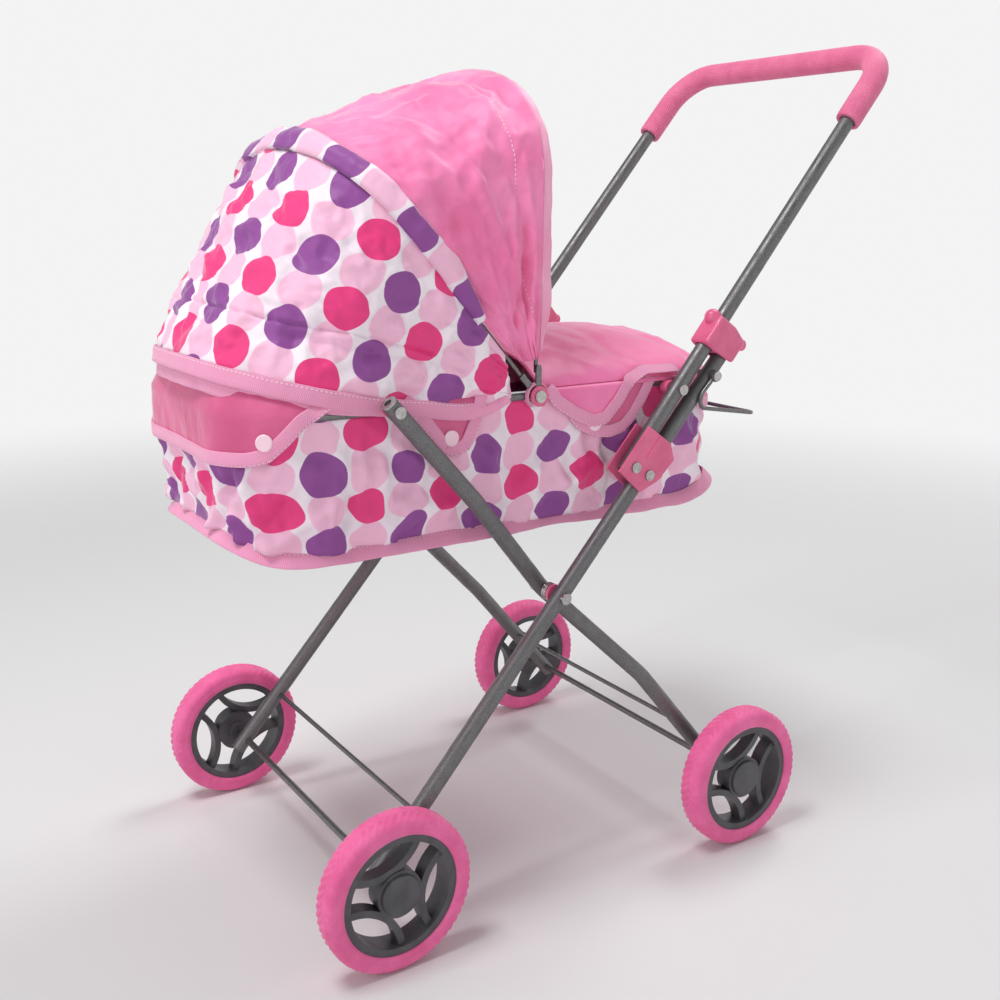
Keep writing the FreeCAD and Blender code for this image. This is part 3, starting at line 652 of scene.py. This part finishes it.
def tyre(end, side_name):
    """Foam tyre with a chevron tread cut into the rolling face."""
    node = f"tyre_{end}_{side_name}"
    low, high = box_here(node)
    centre = (low + high) / 2
    outer = (high[2] - low[2]) / 2
    half = (high[0] - low[0]) / 2
    lugs, steps = 56, 6
    count = lugs * steps
    profile = [(-half, TYRE_BORE), (-half, 50), (-half, 54)]
    for turn in np.linspace(0, math.pi / 2, 5):
        x = -half + TYRE_SHOULDER - TYRE_SHOULDER * math.cos(turn)
        profile.append((x, outer - TYRE_SHOULDER + TYRE_SHOULDER * math.sin(turn)))
    edge = len(profile)
    profile += [(x, outer) for x in np.linspace(-half + 6, half - 6, 9)]
    profile += [(-x, r) for x, r in reversed(profile[:edge])]
    profile.append(profile[0])

    def at(spot, k):
        x, r = spot
        turn = 2 * math.pi * k / count
        wave = k / steps + abs(x) / TREAD_LEAN + (0.5 if x > 0 else 0)
        groove = max(0.0, math.cos(2 * math.pi * wave)) ** 0.7
        reach = r - (TREAD_DEPTH * groove if r > outer - 3.2 else 0.0)
        return centre + np.array([x, reach * math.sin(turn), reach * math.cos(turn)]), (k, x)

    piece = loft(f"foam_tyre_{end}_{side_name}", profile, range(count + 1), at, closed=True)
    finish_piece(piece, [TYRE_FOAM], f"wheel_{end}_{side_name}", [node])


# ---- handle foam
FOAM_R = 11.0
FOAM_BORE = 6.9
BAR_BEND = 38.0             # bend radius of the push bar's centre line
BAR_SLOPE = radians(49.6)


def bar_path(step):
    """Centre line of the push bar's foam, up the left side and down the right, and its plane's normal."""
    low, high = box_here("handle_foam")
    top_z, top_y = high[2] - FOAM_R, high[1] - FOAM_R
    start_z = low[2] + FOAM_R * math.cos(BAR_SLOPE)
    length = (top_z - start_z) / math.sin(BAR_SLOPE)
    run = length - BAR_BEND
    inner = LEG_X - BAR_BEND
    points = [(LEG_X, k) for k in np.arange(0, run, step)]
    for turn in np.linspace(0, math.pi / 2, 12):
        points.append((inner + BAR_BEND * math.cos(turn), run + BAR_BEND * math.sin(turn)))
    side = list(points)
    points += [(x, length) for x in np.linspace(inner, -inner, 24)[1:-1]]
    points += [(-x, k) for x, k in reversed(side)]
    start = np.array([0, top_y - length * math.cos(BAR_SLOPE), start_z])
    up = np.array([0, math.cos(BAR_SLOPE), math.sin(BAR_SLOPE)])
    return np.array([start + np.array([x, 0, 0]) + up * k for x, k in points]), np.array([0, -up[2], up[1]])


def ribbed_foam():
    """Foam sleeve with fine ribs along it and softly rounded ends."""
    path, flat = bar_path(4.0)
    along = unit(np.gradient(path, axis=0))
    ribs, steps = 38, 4
    rib_depth = 0.42
    count = ribs * steps
    last = len(path) - 1
    rings = [(0, FOAM_BORE, 0), (0, 9.8, 0), (0, 10.7, 0.6)]
    rings += [(k, FOAM_R, 0) for k in range(1, last)]
    rings += [(last, 10.7, -0.6), (last, 9.8, 0)]
    rings += [(k, FOAM_BORE, 0) for k in range(last, -1, -1)]

    def at(ring, j):
        k, r, push = ring
        across = np.cross(along[k], flat)
        turn = 2 * math.pi * j / count
        reach = r - (rib_depth if j % steps == 0 and r > 10.6 else 0.0)
        spoke = across * math.cos(turn) + flat * math.sin(turn)
        return path[k] + along[k] * push + reach * spoke, (j, k)

    piece = loft("ribbed_handle_foam", rings, range(count + 1), at, closed=True)
    finish_piece(piece, [HANDLE_FOAM], "handle", ["handle_foam"])


# ---- moulded collars
def soft_collar(side_name):
    """The lock collar with its blends rounded, as it comes from the mould."""
    node = frame["nodes"]["lock_collar_" + side_name]
    piece = node.copy()
    piece.data = node.data.copy()
    for mark in list(piece.keys()):
        del piece[mark]
    piece.parent = None
    piece.name = "moulded_collar_" + side_name
    bpy.context.scene.collection.objects.link(piece)
    remesh = piece.modifiers.new("remesh", "REMESH")
    remesh.mode = "VOXEL"
    remesh.voxel_size = 0.9 * MM
    relax = piece.modifiers.new("relax", "SMOOTH")
    relax.factor = 0.6
    relax.iterations = 7
    apply_modifiers(piece)
    piece.data.materials.clear()
    finish_piece(piece, [PINK_PLASTIC], "collar_" + side_name, ["lock_collar_" + side_name])


# ---- bassinet
WALL_TOP_Z = RIM_Z - 2.0
BASE_Y = (-80.0, 362.0)
BASE_HALF = 103.0
CORNER_LIFT = 8.0           # the base's rear corners curl up
WALL_GAP = 2.2              # wall's top edge outside the rim's centre line
ROUND = 2 * (FOOT_U - HEAD_U)


def base_z(y):
    """Height of the bassinet's bottom edge: flat under the board, curling up at both ends."""
    head = clamp((-42.0 - y) / 44.0)
    foot = clamp((y - 322.0) / 52.0)
    return 301.0 + 17.0 * head * head + 15.0 * foot * foot


WALL_FOLDS = [
    (-118, 38, -96, 96, 4.5, 5.8), (-98, 46, -110, 100, 4.0, -5.4), (-84, 52, -70, 98, 4.5, 4.8),
    (-140, 40, -132, 98, 5.0, 5.1), (-60, 60, -86, 92, 4.0, -5.5), (-40, 70, -70, 95, 4.5, 5.1),
    (-24, 50, -30, 92, 4.5, 4.1), (-10, 60, -16, 80, 3.0, -5.1), (20, 20, 60, 48, 5.0, 3.7),
    (-6, 30, 26, 22, 4.0, -3.2), (88, 30, 120, 60, 6.0, 3.2), (140, 60, 176, 30, 6.0, -4.1),
    (160, 80, 214, 62, 5.0, 3.7), (222, 30, 232, 92, 4.0, -6.0), (238, 34, 246, 94, 4.0, 5.1),
    (262, 40, 258, 96, 4.5, -5.1), (300, 30, 330, 92, 5.0, 6.0), (350, 40, 340, 95, 5.0, -6.0),
    (380, 30, 376, 94, 5.0, 6.0), (110, 78, 150, 96, 5.0, -3.2), (40, 84, 90, 70, 5.0, 2.8),
]


def wall_bump(u, v, drop):
    """How far the cloth stands out: pressed folds, crumples, gathers at the foot and pulls at the rim."""
    pressed = folds(u, v, WALL_FOLDS) + 0.6 * folds(2 * HEAD_U - u, v, WALL_FOLDS)
    wave = 7.0 * ridge(u, v, 38.0, 1.0) + 3.0 * ridge(u, v * 0.5, 16.0, 4.0)
    gather = 1.3 * drift(u / 7.0, 9.0, 0.0) * drop ** 4
    pull = drift(u / 9.0, 3.0, 0.0) * (1 - drop) ** 4
    return (pressed + wave + gather + pull) * min(1.0, 2.6 * drop + 0.15)


def left_u(u):
    """The u on the left side that mirrors a u on either side."""
    return max(u, 2 * HEAD_U - u)


def corner_share(u):
    """1 at the base's two rear corners, fading along the edge."""
    corner = RIM_REAR - RIM_CORNER + RIM_CORNER * math.pi / 4
    return bell(left_u(u), corner, 26.0)


def foot_y(y):
    """Where the wall's foot lies under a point of the rim."""
    return BASE_Y[0] + (y - RIM_FRONT) * (BASE_Y[1] - BASE_Y[0]) / (RIM_REAR - RIM_FRONT)


def bassinet_wall():
    """Dotted cloth tub hung from the rim, lined with plain pink."""
    shrink = BASE_HALF / (RIM_HALF + WALL_GAP)

    def at(drop, lead):
        u = FOOT_U - ROUND * lead
        (x, y), (nx, ny) = rim_at(u, WALL_GAP)
        top = np.array([x, y, WALL_TOP_Z])
        low_y = foot_y(y)
        low = np.array([x * shrink, low_y, base_z(low_y) - 0.4 + CORNER_LIFT * corner_share(u)])
        bow = 1.6 * math.sin(math.pi * drop)
        out = max(bow + wall_bump(u, drop * 100.0, drop), -0.8 - 16.0 * (1 - drop))
        drawn_u = 9.0 * drift(u / 31.0, drop * 3.0, 12.0)
        drawn_v = 7.0 * drift(u / 27.0, drop * 3.0, 15.0)
        mark = (u - 3.0 + drawn_u, 15.0 - drop * 106.0 + drawn_v)
        return top + (low - top) * drop + out * np.array([nx, ny, 0.0]), mark

    piece = loft("bassinet_cloth", shares(30), shares(520), at, closed=True)
    thicken(piece, 1.2, -1.0, two_faced=True)
    finish_piece(piece, [DOTS, PINK], "rim", ["bassinet_wall"])


def base_edge(u, grow):
    """Point on the bound edge of the base, grow mm outside the wall's foot, and the outward normal."""
    (x, y), (nx, ny) = rim_at(u, 0)
    low_y = foot_y(y)
    x *= BASE_HALF / RIM_HALF
    tip = 9.0 * corner_share(u)
    tube_notch = 6.4 * bell(left_u(u), 169.0, 27.0)
    reach = grow + tip - tube_notch
    z = base_z(low_y + ny * tip) + CORNER_LIFT * corner_share(u)
    return np.array([x + nx * reach, low_y + ny * reach, z]), np.array([nx, ny, 0.0])


def base_cloth():
    """Underside panel and the herringbone binding that stands out all round it."""
    centre = np.array([0.0, (BASE_Y[0] + BASE_Y[1]) / 2, 0.0])

    def at(inward, lead):
        share = 1 - 0.985 * inward
        u = FOOT_U - ROUND * lead
        edge, _ = base_edge(u, 1.0)
        x, y, _ = centre + (edge - centre) * share
        droop = 1.2 * drift(x / 45, y / 45, 2.0)
        lift = CORNER_LIFT * corner_share(u) * share ** 6
        return (x, y, base_z(y) - 1.6 - 1.5 * (1 - share) + droop + lift), (x, y)

    panel = loft("base_cloth", shares(14), shares(200), at, closed=True)
    thicken(panel, 1.0, 0.0)
    finish_piece(panel, [PINK], "rim", ["base_fabric"])

    path, out = [], []
    for lead in shares(420):
        u = FOOT_U - ROUND * lead
        point, normal = base_edge(u, 3.2)
        sway = 1.4 * drift(u / 21.0, 2.0, 1.0)
        path.append(point + normal * sway + np.array([0, 0, -2.0 + 0.9 * sway]))
        out.append(normal * 0.72 + np.array([0, 0, 0.69]))
    path[-1] = path[0]
    tape = binding("base_binding", path, out, 12.5, 1.9, 1.0)


# ---- flaps
FLAP_TURN = 0.22            # share of a flap that turns over the rim tube
FLAP_SIDE_Z = RIM_Z + 2.5   # below this a flap hangs straight


def hanging_flap(name, knots, grow, side, top_in=3.0, columns=90, rise=0.0):
    """Flap folded over the rim tube and hanging outside it, down to the (u, z) edge in knots.
    rise lifts its top above the rim round the head end."""
    def at(t, edge_point):
        u, z_low = edge_point
        up = rise * (1 - min(1.0, abs(u - HEAD_U) / 150.0) ** 2)
        z_top = RIM_Z + RIM_R + 1.0 + up
        if t < FLAP_TURN:
            turn = t / FLAP_TURN * math.pi / 2
            off = -top_in + (grow + top_in) * math.sin(turn)
            z = FLAP_SIDE_Z + (z_top - FLAP_SIDE_Z) * math.cos(turn)
            if z_low > FLAP_SIDE_Z:
                z = max(min(z, z_top), min(z_low, z_top))
        else:
            down = (t - FLAP_TURN) / (1 - FLAP_TURN)
            off = grow
            z = FLAP_SIDE_Z + (min(z_low, FLAP_SIDE_Z) - FLAP_SIDE_Z) * down
        if z > FLAP_SIDE_Z + 1:
            off = min(off, max(grow - 0.45 * (z - FLAP_SIDE_Z), -2.0))
        bulge = (0.9 * ridge(u, z, 19.0, 6.0 + grow) + 0.5 * ridge(u, z, 8.0, 1.0)) * t
        return rim_point(u, off + bulge, z, side), (u, z)

    return cloth_sheet(name, shares(14), outline(knots, columns), at)


def edge_tape(name, knots, grow, side, inset, count):
    """Binding along a flap's (u, z) edge, its outer side just past the edge."""
    edge = outline(knots, count)
    along = unit(np.gradient(edge, axis=0))
    inward = np.stack([-along[:, 1], along[:, 0]], 1)
    if inward[count // 2][1] < 0:
        inward = -inward
    path, out = [], []
    for u, z in edge + inward * inset:
        lift = max(0.0, z - (RIM_Z + 2.0))
        path.append(rim_point(u, grow + 0.9 - 0.35 * lift, min(z, RIM_Z + RIM_R + 9.0), side))
        out.append(rim_normal(u, side) + np.array([0, 0, min(1.5, 0.22 * lift)]))
    return binding(name, path, out, BIND, 1.7, 0.8)


# Lower edges of the flaps as (u, z) knots.
HALF_FRONT_EDGE = [
    (HEAD_U, 370.0), (HEAD_U + 60, 369.0), (HEAD_U + 96, 371.0), (HEAD_U + 110, 375.0),
    (HEAD_U + 122, 387.0), (HEAD_U + 133, 400.0), (HEAD_U + 147, 408.0), (HEAD_U + 172, 410.5),
]
MIDDLE_EDGE = [
    (31, 409.0), (44, 394.0), (55, 380.0), (65, 368.0),
    (78, 365.5), (88, 370.0), (97, 388.0), (103, 408.0),
]
BOOT_EDGE = [
    (157, 408.0), (165, 396.0), (184, 384.0), (203, 375.5), (217, 377.5),
    (231, 391.0), (243, 407.0), (258, 413.0), (292, 412.0),
]
UNDER_EDGE = [
    (172, 404.0), (180, 386.0), (189, 375.0), (206, 367.0), (222, 364.5),
    (238, 368.0), (250, 379.0), (263, 398.0), (268, 408.0),
]
REAR_HALF_EDGE = [(302, 406.0), (312, 384.0), (330, 377.0), (FOOT_U, 376.0)]


def flap(name, knots, grow, cloth, replaces, flat, area, side=1, suffix="", tape_grow=5.8, inset=4.4,
         count=120, **shape):
    """A flap hanging grow mm outside the rim's centre line, with its bound edge."""
    piece = hanging_flap(f"{name}_cloth{suffix}", knots, grow, side, **shape)
    finish_piece(piece, [cloth], "rim", replaces)
    tape = edge_tape(f"{name}_binding{suffix}", knots, tape_grow, side, inset, count)


def all_flaps():
    """The flaps folded over the rim. A CAD node holds both sides, so only the left flap replaces it."""
    other_half = [(2 * HEAD_U - u, z) for u, z in reversed(HALF_FRONT_EDGE[1:])]
    flap("front_liner", other_half + HALF_FRONT_EDGE, 5.6, DEEP_PINK, ["liner_flap_front"],
         flat=(0.36, 0.06), area=0.0164, columns=220, rise=22.0, count=300)
    for side, suffix in ((1, "_left"), (-1, "_right")):
        flap("middle_liner", MIDDLE_EDGE, 5.6, DEEP_PINK, ["liner_flaps_middle"] if side > 0 else [],
             flat=(0.072, 0.06), area=0.0026, side=side, suffix=suffix)
        flap("foot_liner", UNDER_EDGE, 4.6, DEEP_PINK, [],
             flat=(0.1, 0.06), area=0.0038, side=side, suffix=suffix, tape_grow=4.7)
        flap("boot_side", BOOT_EDGE, 6.4, PINK, ["boot_flaps_side"] if side > 0 else [],
             flat=(0.135, 0.05), area=0.00366, side=side, suffix=suffix, tape_grow=7.0, inset=3.6,
             top_in=6.0)
    other_half = [(2 * FOOT_U - u, z) for u, z in reversed(REAR_HALF_EDGE[:-1])]
    flap("boot_rear", REAR_HALF_EDGE + other_half, 5.6, PINK, ["boot_flap_rear"],
         flat=(0.285, 0.045), area=0.01147, columns=160, count=200)


# ---- boot cover
BOOT_FRONT, BOOT_REAR = 152.0, 361.0
BOOT_FOLDS = [
    (-80, 200, 70, 214, 9, 1.6), (-60, 262, 96, 246, 8, -1.8), (60, 170, 104, 214, 6, 2.0),
    (-104, 180, -70, 230, 7, 1.8), (30, 300, 102, 330, 7, -2.0), (-96, 320, -30, 296, 7, -1.8),
    (0, 330, 60, 350, 6, 1.8), (84, 226, 108, 252, 5, 2.2), (90, 262, 110, 268, 4, -1.8),
    (-108, 250, -84, 236, 5, 2.0), (-20, 160, 20, 190, 7, -1.4),
]


def between(value, knots):
    """Straight-line interpolation in a few (value, result) knots."""
    return float(np.interp(value, [k[0] for k in knots], [k[1] for k in knots]))


def boot_height(y):
    """Height of the cover's crown line above the rim."""
    return between(y, [(150, 31), (205, 34), (250, 35), (295, 33), (330, 27), (350, 16), (361, 0)])


def boot_half(y):
    """Half of the cover's width, following the rim's rear corners."""
    if y < RIM_REAR - RIM_CORNER:
        return RIM_HALF + 3.0
    rise = (y - RIM_REAR + RIM_CORNER) / (RIM_CORNER + 3.2)
    return RIM_HALF - RIM_CORNER + (RIM_CORNER + 3.0) * math.sqrt(max(0.0, 1 - rise * rise))


def boot_cover():
    """Crowned cover over the foot end, sewn to the rim, with soft pulls across it."""
    def at(t, across):
        y = BOOT_FRONT + (BOOT_REAR - BOOT_FRONT) * t
        x = boot_half(y) * across
        arch = max(0.0, 1 - across * across) ** 0.62
        near_edge = min(1.0, (1 - abs(across)) * 9, (BOOT_REAR - y) / 22.0)
        creased = folds(x, y, BOOT_FOLDS) + 0.9 * ridge(x, y, 42.0, 2.5) + 0.5 * ridge(x, y, 14.0, 3.0)
        z = RIM_Z + RIM_R + 1.2 + boot_height(y) * arch + creased * near_edge
        return (x, y + 1.2 * near_edge * drift(x / 20, y / 30, 1), z), (x, y)

    across = [-math.cos(math.pi * lead) for lead in shares(72)]
    piece = cloth_sheet("boot_cloth", shares(60), across, at, 1.0, -1.0)
    finish_piece(piece, [PINK], "rim", ["boot_cover"])


# ---- hood
HEM_END = radians(181.0)
DOT_LINE = radians(155.0)      # angle at which the dotted cloth's own v is 0

# Angle of the hem in degrees by height on the hoop: level at the pivot, raised over the head end.
HEM_ANGLES = [(0, 186.0), (50, 182.5), (75, 180.2), (95, 178.2), (140, 176.0), (190, 173.6), (247, 171.4)]

# Folds are (u0, v0, u1, v1, half width, height).
HOOD_FOLDS = [
    (60, -10, 130, -44, 5, 1.6), (70, 18, 150, 46, 5, 1.8), (96, 8, 210, 34, 4.5, -1.8),
    (40, 4, 90, -2, 4, 1.6), (60, 26, 110, 58, 4, -1.6), (150, 40, 232, 92, 5, 1.8),
    (190, 20, 260, 60, 6, -1.6), (130, -40, 200, -72, 5, -1.4), (180, -8, 240, -66, 7, 1.8),
    (226, -20, 300, -80, 7, -2.0), (250, 30, 290, 100, 6, 2.0), (300, -10, 330, 90, 8, -2.2),
    (50, 40, 70, 66, 4, 1.4), (230, 60, 300, 76, 4.5, 1.6), (286, -60, 330, -20, 7, 2.2),
    (100, -16, 118, 30, 4, 1.2),
]
CROWN_FOLDS = [
    (330, 92, 240, 84, 12, 2.6), (250, 96, 150, 54, 10, -2.4), (300, 60, 200, 34, 14, 2.6),
    (180, 80, 110, 66, 8, 2.4), (220, 50, 140, 26, 9, -2.6), (150, 38, 96, 60, 7, 2.8),
    (130, 20, 70, 44, 6, -2.8), (96, 14, 60, 34, 5, 2.8), (180, 18, 110, 10, 5, 2.2),
    (300, 22, 230, 12, 8, -2.0), (330, 40, 280, 110, 12, -2.0), (240, 24, 200, 60, 8, 1.8),
    (84, 60, 66, 84, 5, -2.4), (200, 110, 150, 96, 7, 1.8), (280, 130, 230, 110, 9, 2.0),
]


def height_at(s):
    """Height on the hoop at s."""
    return arch_at(s)[1]


def hem_angle(s):
    return radians(between(height_at(s), HEM_ANGLES))


def hood_outward(s, angle):
    """Unit direction out of the hood."""
    ahead = hood_point(s, angle, 6.0) - hood_point(s, angle, 3.0)
    return ahead / np.linalg.norm(ahead)


def crown_line(angle):
    """Point in metres on the hood's middle line at an angle about its pivot."""
    return tuple(place([0.0, HOOD_Y + CROWN_Z * math.cos(angle), HOOD_Z + CROWN_Z * math.sin(angle)]))


def foot_reach(angle):
    """How far from the pivot the front panel's gathered end lies at an angle."""
    t = clamp((HEM_END - angle) / (HEM_END - FRONT_BOW))
    return 26.0 + 20.0 * t * t


def side_tuck(half_s, height, angle):
    """Sewn tuck low on the front panel: a narrow groove, with the cloth below it set in."""
    if half_s <= 105:
        return 0.0
    seam = radians(157.5 + 4.5 * clamp((height - 110.0) / 110.0))
    below = (angle - seam) * height
    return -2.4 * bell(below, 0.0, 1.5) - 0.8 * (below > 0)


def hood_front():
    """Dotted front panel from the hem up to the front bow, gathered into the pivots."""
    def at(t, lead):
        s = 2 * ARCH_TOP * lead
        for _ in range(3):
            hem = hem_angle(s)
            angle = hem + (FRONT_BOW + radians(1.0) - hem) * t
            start = foot_reach(angle)
            s, half_s = hoop_run(start, lead)
        height = height_at(half_s)
        v = height * (angle - DOT_LINE)
        creased = 1.5 * folds(half_s, v if s < ARCH_TOP else v + 7.0, HOOD_FOLDS)
        creased += 5.5 * ridge(s, v, 46.0, 8.0) + 2.4 * ridge(s, v, 17.0, 5.0)
        gather = 2.0 * drift(angle * 22.0, 1.0, 0.0) * bell(half_s, start, 26.0)
        hold = min(1.0, 7 * (1 - t) + 0.1) * min(1.0, 5 * t + 0.35)
        grow = 2.6 + (creased + gather + side_tuck(half_s, height, angle)) * hold
        pull = pulled_straight(angle, FRONT_BOW, hem, 0.75)
        return hood_point(s, angle, grow, pull), (s - 119.0, -v)

    piece = cloth_sheet("hood_front_cloth", shares(104), shares(300), at)
    finish_piece(piece, [DOTS], None, ["hood_front_panel"])
    crown_line(radians(174.0))
    crown_line(FRONT_BOW + radians(3.0))
    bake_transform(piece)


def hood_hem():
    """Bound hem of the hood, twisted where it runs up to the pivots, with a ruffled edge below it."""
    first = 30.0
    path, out = [], []
    for lead in shares(420):
        s, half_s = hoop_run(first, lead)
        angle = hem_angle(s)
        near = max(0.0, 1 - (half_s - first) / 42.0)
        clear = clamp((half_s - 135.0) / 60.0)
        point = hood_point(s, angle, 4.2 - 1.2 * near + 1.8 * clear)
        point[2] += -5.0 + 9.0 * near * near
        twist = 1.1 * near
        out.append(hood_outward(s, angle) * math.cos(twist) + np.array([0, 0, math.sin(twist)]))
        path.append(point)
    binding("hood_hem_tape", path, out, 13.0, 2.2, 1.1, ["hood_hem_binding"])

    first = 128.0
    path, out = [], []
    for lead in shares(420):
        s, half_s = hoop_run(first, lead)
        open_up = min(1.0, (half_s - first) / 120.0)
        point = hood_point(s, hem_angle(s), 3.6 + 1.4 * drift(s / 16.0, 5.0, 0.0))
        point[2] -= 6.0 + 10.0 * open_up
        out.append(hood_outward(s, hem_angle(s)))
        path.append(point)
    binding("hood_under_tape", path, out, 11.0, 1.6, 1.6)


def bow_sleeve():
    """Folded dotted sleeve over the front bow, lapping the crown, curled at the ends."""
    first = 80.0
    curled = 0.2            # share of the sleeve's width that curls under

    def at(t, lead):
        s, half_s = hoop_run(first, lead)
        width = 19.0 + 2.5 * math.sin(half_s / 41.0) + 5.0 * drift(s / 45.0, 2.0, 0.0)
        width *= min(1.0, 0.35 + (half_s - first) / 60.0)
        lip = 4.0 + 9.0 * bell(s, ARCH_TOP + 78.0, 45.0)
        if t < curled:
            curl = (curled - t) / curled
            grow = 4.4 - 5.0 * curl * curl
            back = -lip - 0.2 + 1.6 * curl
        else:
            grow = 4.4 + 2.6 * math.sin(math.pi * (t - curled) / (1 - curled)) + 0.6 * t
            back = (width + lip - 4.0) * t - lip
        grow += 1.6 * ridge(s, back, 18.0, 7.0) + 1.6 * drift(s / 24.0, 6.0, 0.0)
        mark = (s - 233.0 + DOT_PITCH / 2, DOT_ROWS / 2 + 5.0 - back)
        return hood_point(s, FRONT_BOW - back / height_at(half_s), grow), mark

    piece = cloth_sheet("front_bow_sleeve", shares(16), shares(280), at)
    finish_piece(piece, [DOTS], "front_bow")


def crown_foot(angle):
    """How far from the pivot the crown's gathered end lies at an angle."""
    t = (angle - REAR_BOW) / (FRONT_BOW - REAR_BOW)
    return 31.0 + 50.0 * max(0.0, t) ** 9


def hood_crown():
    """Pink crown between the bows, with broad soft folds and gathered lower corners."""
    angle0, angle1 = FRONT_BOW - radians(0.6), REAR_BOW - radians(1.0)

    def at(t, lead):
        angle = angle0 + (angle1 - angle0) * t
        first = crown_foot(angle)
        s, half_s = hoop_run(first, lead)
        v = (angle - REAR_BOW) * CROWN_Z
        creased = 1.5 * folds(half_s, v if s < ARCH_TOP else v + 9.0, CROWN_FOLDS)
        creased += 5.0 * ridge(s, v, 66.0, 11.0) + 2.2 * ridge(s, v, 24.0, 12.0)
        gather = (3.2 * drift(angle * 26.0, 3.0, 0.0) + 0.8) * bell(half_s, first, 22.0)
        hold = min(1.0, 0.15 + 7 * min(t, 1 - t))
        seam = -0.9 * bell(v, CROWN_STITCH, 1.6)
        grow = 4.0 + (creased + gather) * hold + seam
        return hood_point(s, angle, grow, pulled_straight(angle, FRONT_BOW, REAR_BOW, 0.85)), (s, v)

    piece = cloth_sheet("hood_crown_cloth", shares(64), shares(320), at)
    # the crown's cloth is painted lighter than the other pink cloth, as painted top light and sheen
    finish_piece(piece, [CROWN_PINK_PAINTED_LIGHT], None, ["hood_crown"])
    crown_line(FRONT_BOW - radians(2.0))
    crown_line(REAR_BOW + radians(2.0))
    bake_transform(piece)


def rear_lining():
    """Pale lining edge that shows past the crown's rear seam."""
    first = 34.0

    def at(t, lead):
        s, half_s = hoop_run(first, lead)
        width = (9.0 + 2.0 * drift(s / 30.0, 1.0, 0.0)) * min(1.0, 0.4 + (half_s - first) / 60)
        back = 1.5 + width * t
        angle = REAR_BOW - back / max(height_at(half_s), 60.0)
        return hood_point(s, angle, 3.8 - 0.6 * t + 0.8 * drift(s / 12.0, t * 2, 8.0)), (s, back)

    piece = cloth_sheet("rear_lining_edge", shares(8), shares(260), at, 1.0)
    finish_piece(piece, [PALE_PINK], "rear_bow")


def pivot_loop(side, side_name):
    """Loop of binding tape round the hood's pivot."""
    centre = np.array([side * 117.2, HOOD_Y, HOOD_Z])
    path, out = [], []
    for turn in np.linspace(radians(-60), radians(235), 40):
        ring = np.array([0.0, math.cos(turn), math.sin(turn)])
        path.append(centre + ring * 9.6)
        out.append(ring)
    binding("pivot_loop_" + side_name, path, out, 5.0, 1.4, 0.5)


# ---- stage
def studio():
    """Pale floor that fades out with distance, a soft world and four area lamps."""
    mesh = bpy.data.meshes.new("floor")
    reach = 14.0
    corners = [(-reach, -reach, 0), (reach, -reach, 0), (reach, reach, 0), (-reach, reach, 0)]
    mesh.from_pydata(corners, [], [(0, 1, 2, 3)])
    floor = add_object("floor", mesh)
    paint = Paint("floor", (0.74, 0.74, 0.74, 1), 0.8)
    away = paint.node("ShaderNodeVectorMath", operation="LENGTH")
    paint.join(paint.place(), away.inputs[0])
    paint.join(paint.band(away.outputs["Value"], 2.2, 0.9), paint.shader.inputs["Alpha"])
    floor.data.materials.append(paint.material)

    world = bpy.data.worlds.new("studio")
    bpy.context.scene.world = world
    world.use_nodes = True
    tree = world.node_tree
    background = tree.nodes["Background"]
    where = tree.nodes.new("ShaderNodeTexCoord")
    split = tree.nodes.new("ShaderNodeSeparateXYZ")
    fade = tree.nodes.new("ShaderNodeMapRange")     # bright at the horizon, dim overhead
    tree.links.new(where.outputs["Generated"], split.inputs[0])
    tree.links.new(split.outputs["Z"], fade.inputs["Value"])
    tree.links.new(fade.outputs[0], background.inputs["Strength"])
    for socket, value in (("From Min", 0.25), ("From Max", 0.6), ("To Min", 0.9), ("To Max", 0.22)):
        fade.inputs[socket].default_value = value
    background.inputs["Color"].default_value = (1.0, 1.0, 1.0, 1.0)

    lights = [("key", (0.1, -1.0, 2.5), 0.8, 31.0), ("head", (0.3, -2.1, 1.2), 1.0, 7.5),
              ("back", (-0.4, 1.5, 2.4), 1.0, 26.0), ("fill", (2.1, 0.7, 1.0), 1.6, 1.0)]
    aim = Vector((0.0, 0.0, 0.35))
    for name, spot, size, power in lights:
        data = bpy.data.lights.new(name, "AREA")
        data.size = size
        data.energy = power
        lamp = add_object(name, data)
        lamp.location = spot
        lamp.rotation_euler = (aim - Vector(spot)).to_track_quat("-Z", "Y").to_euler()


def camera():
    """Three-quarter view from the front left, a little above the bassinet."""
    data = bpy.data.cameras.new("camera")
    data.sensor_width = 36.0
    data.lens = 42.33
    data.shift_x = 0.0217
    data.shift_y = -0.0871
    eye = add_object("camera", data)
    eye.location = (0.8455, -0.5846, 0.5505)
    eye.rotation_euler = (radians(90 - 10.155), radians(-0.2), radians(57.4))
    bpy.context.scene.camera = eye
    bpy.context.scene.view_settings.view_transform = "Standard"


# ---- build
paint_frame()
for end in ("front", "rear"):
    for side_name in ("left", "right"):
        tyre(end, side_name)
ribbed_foam()
soft_collar("left")
soft_collar("right")
bassinet_wall()
base_cloth()
all_flaps()
boot_cover()
hood_front()
hood_hem()
bow_sleeve()
hood_crown()
rear_lining()
pivot_loop(1, "left")
pivot_loop(-1, "right")
studio()
camera()
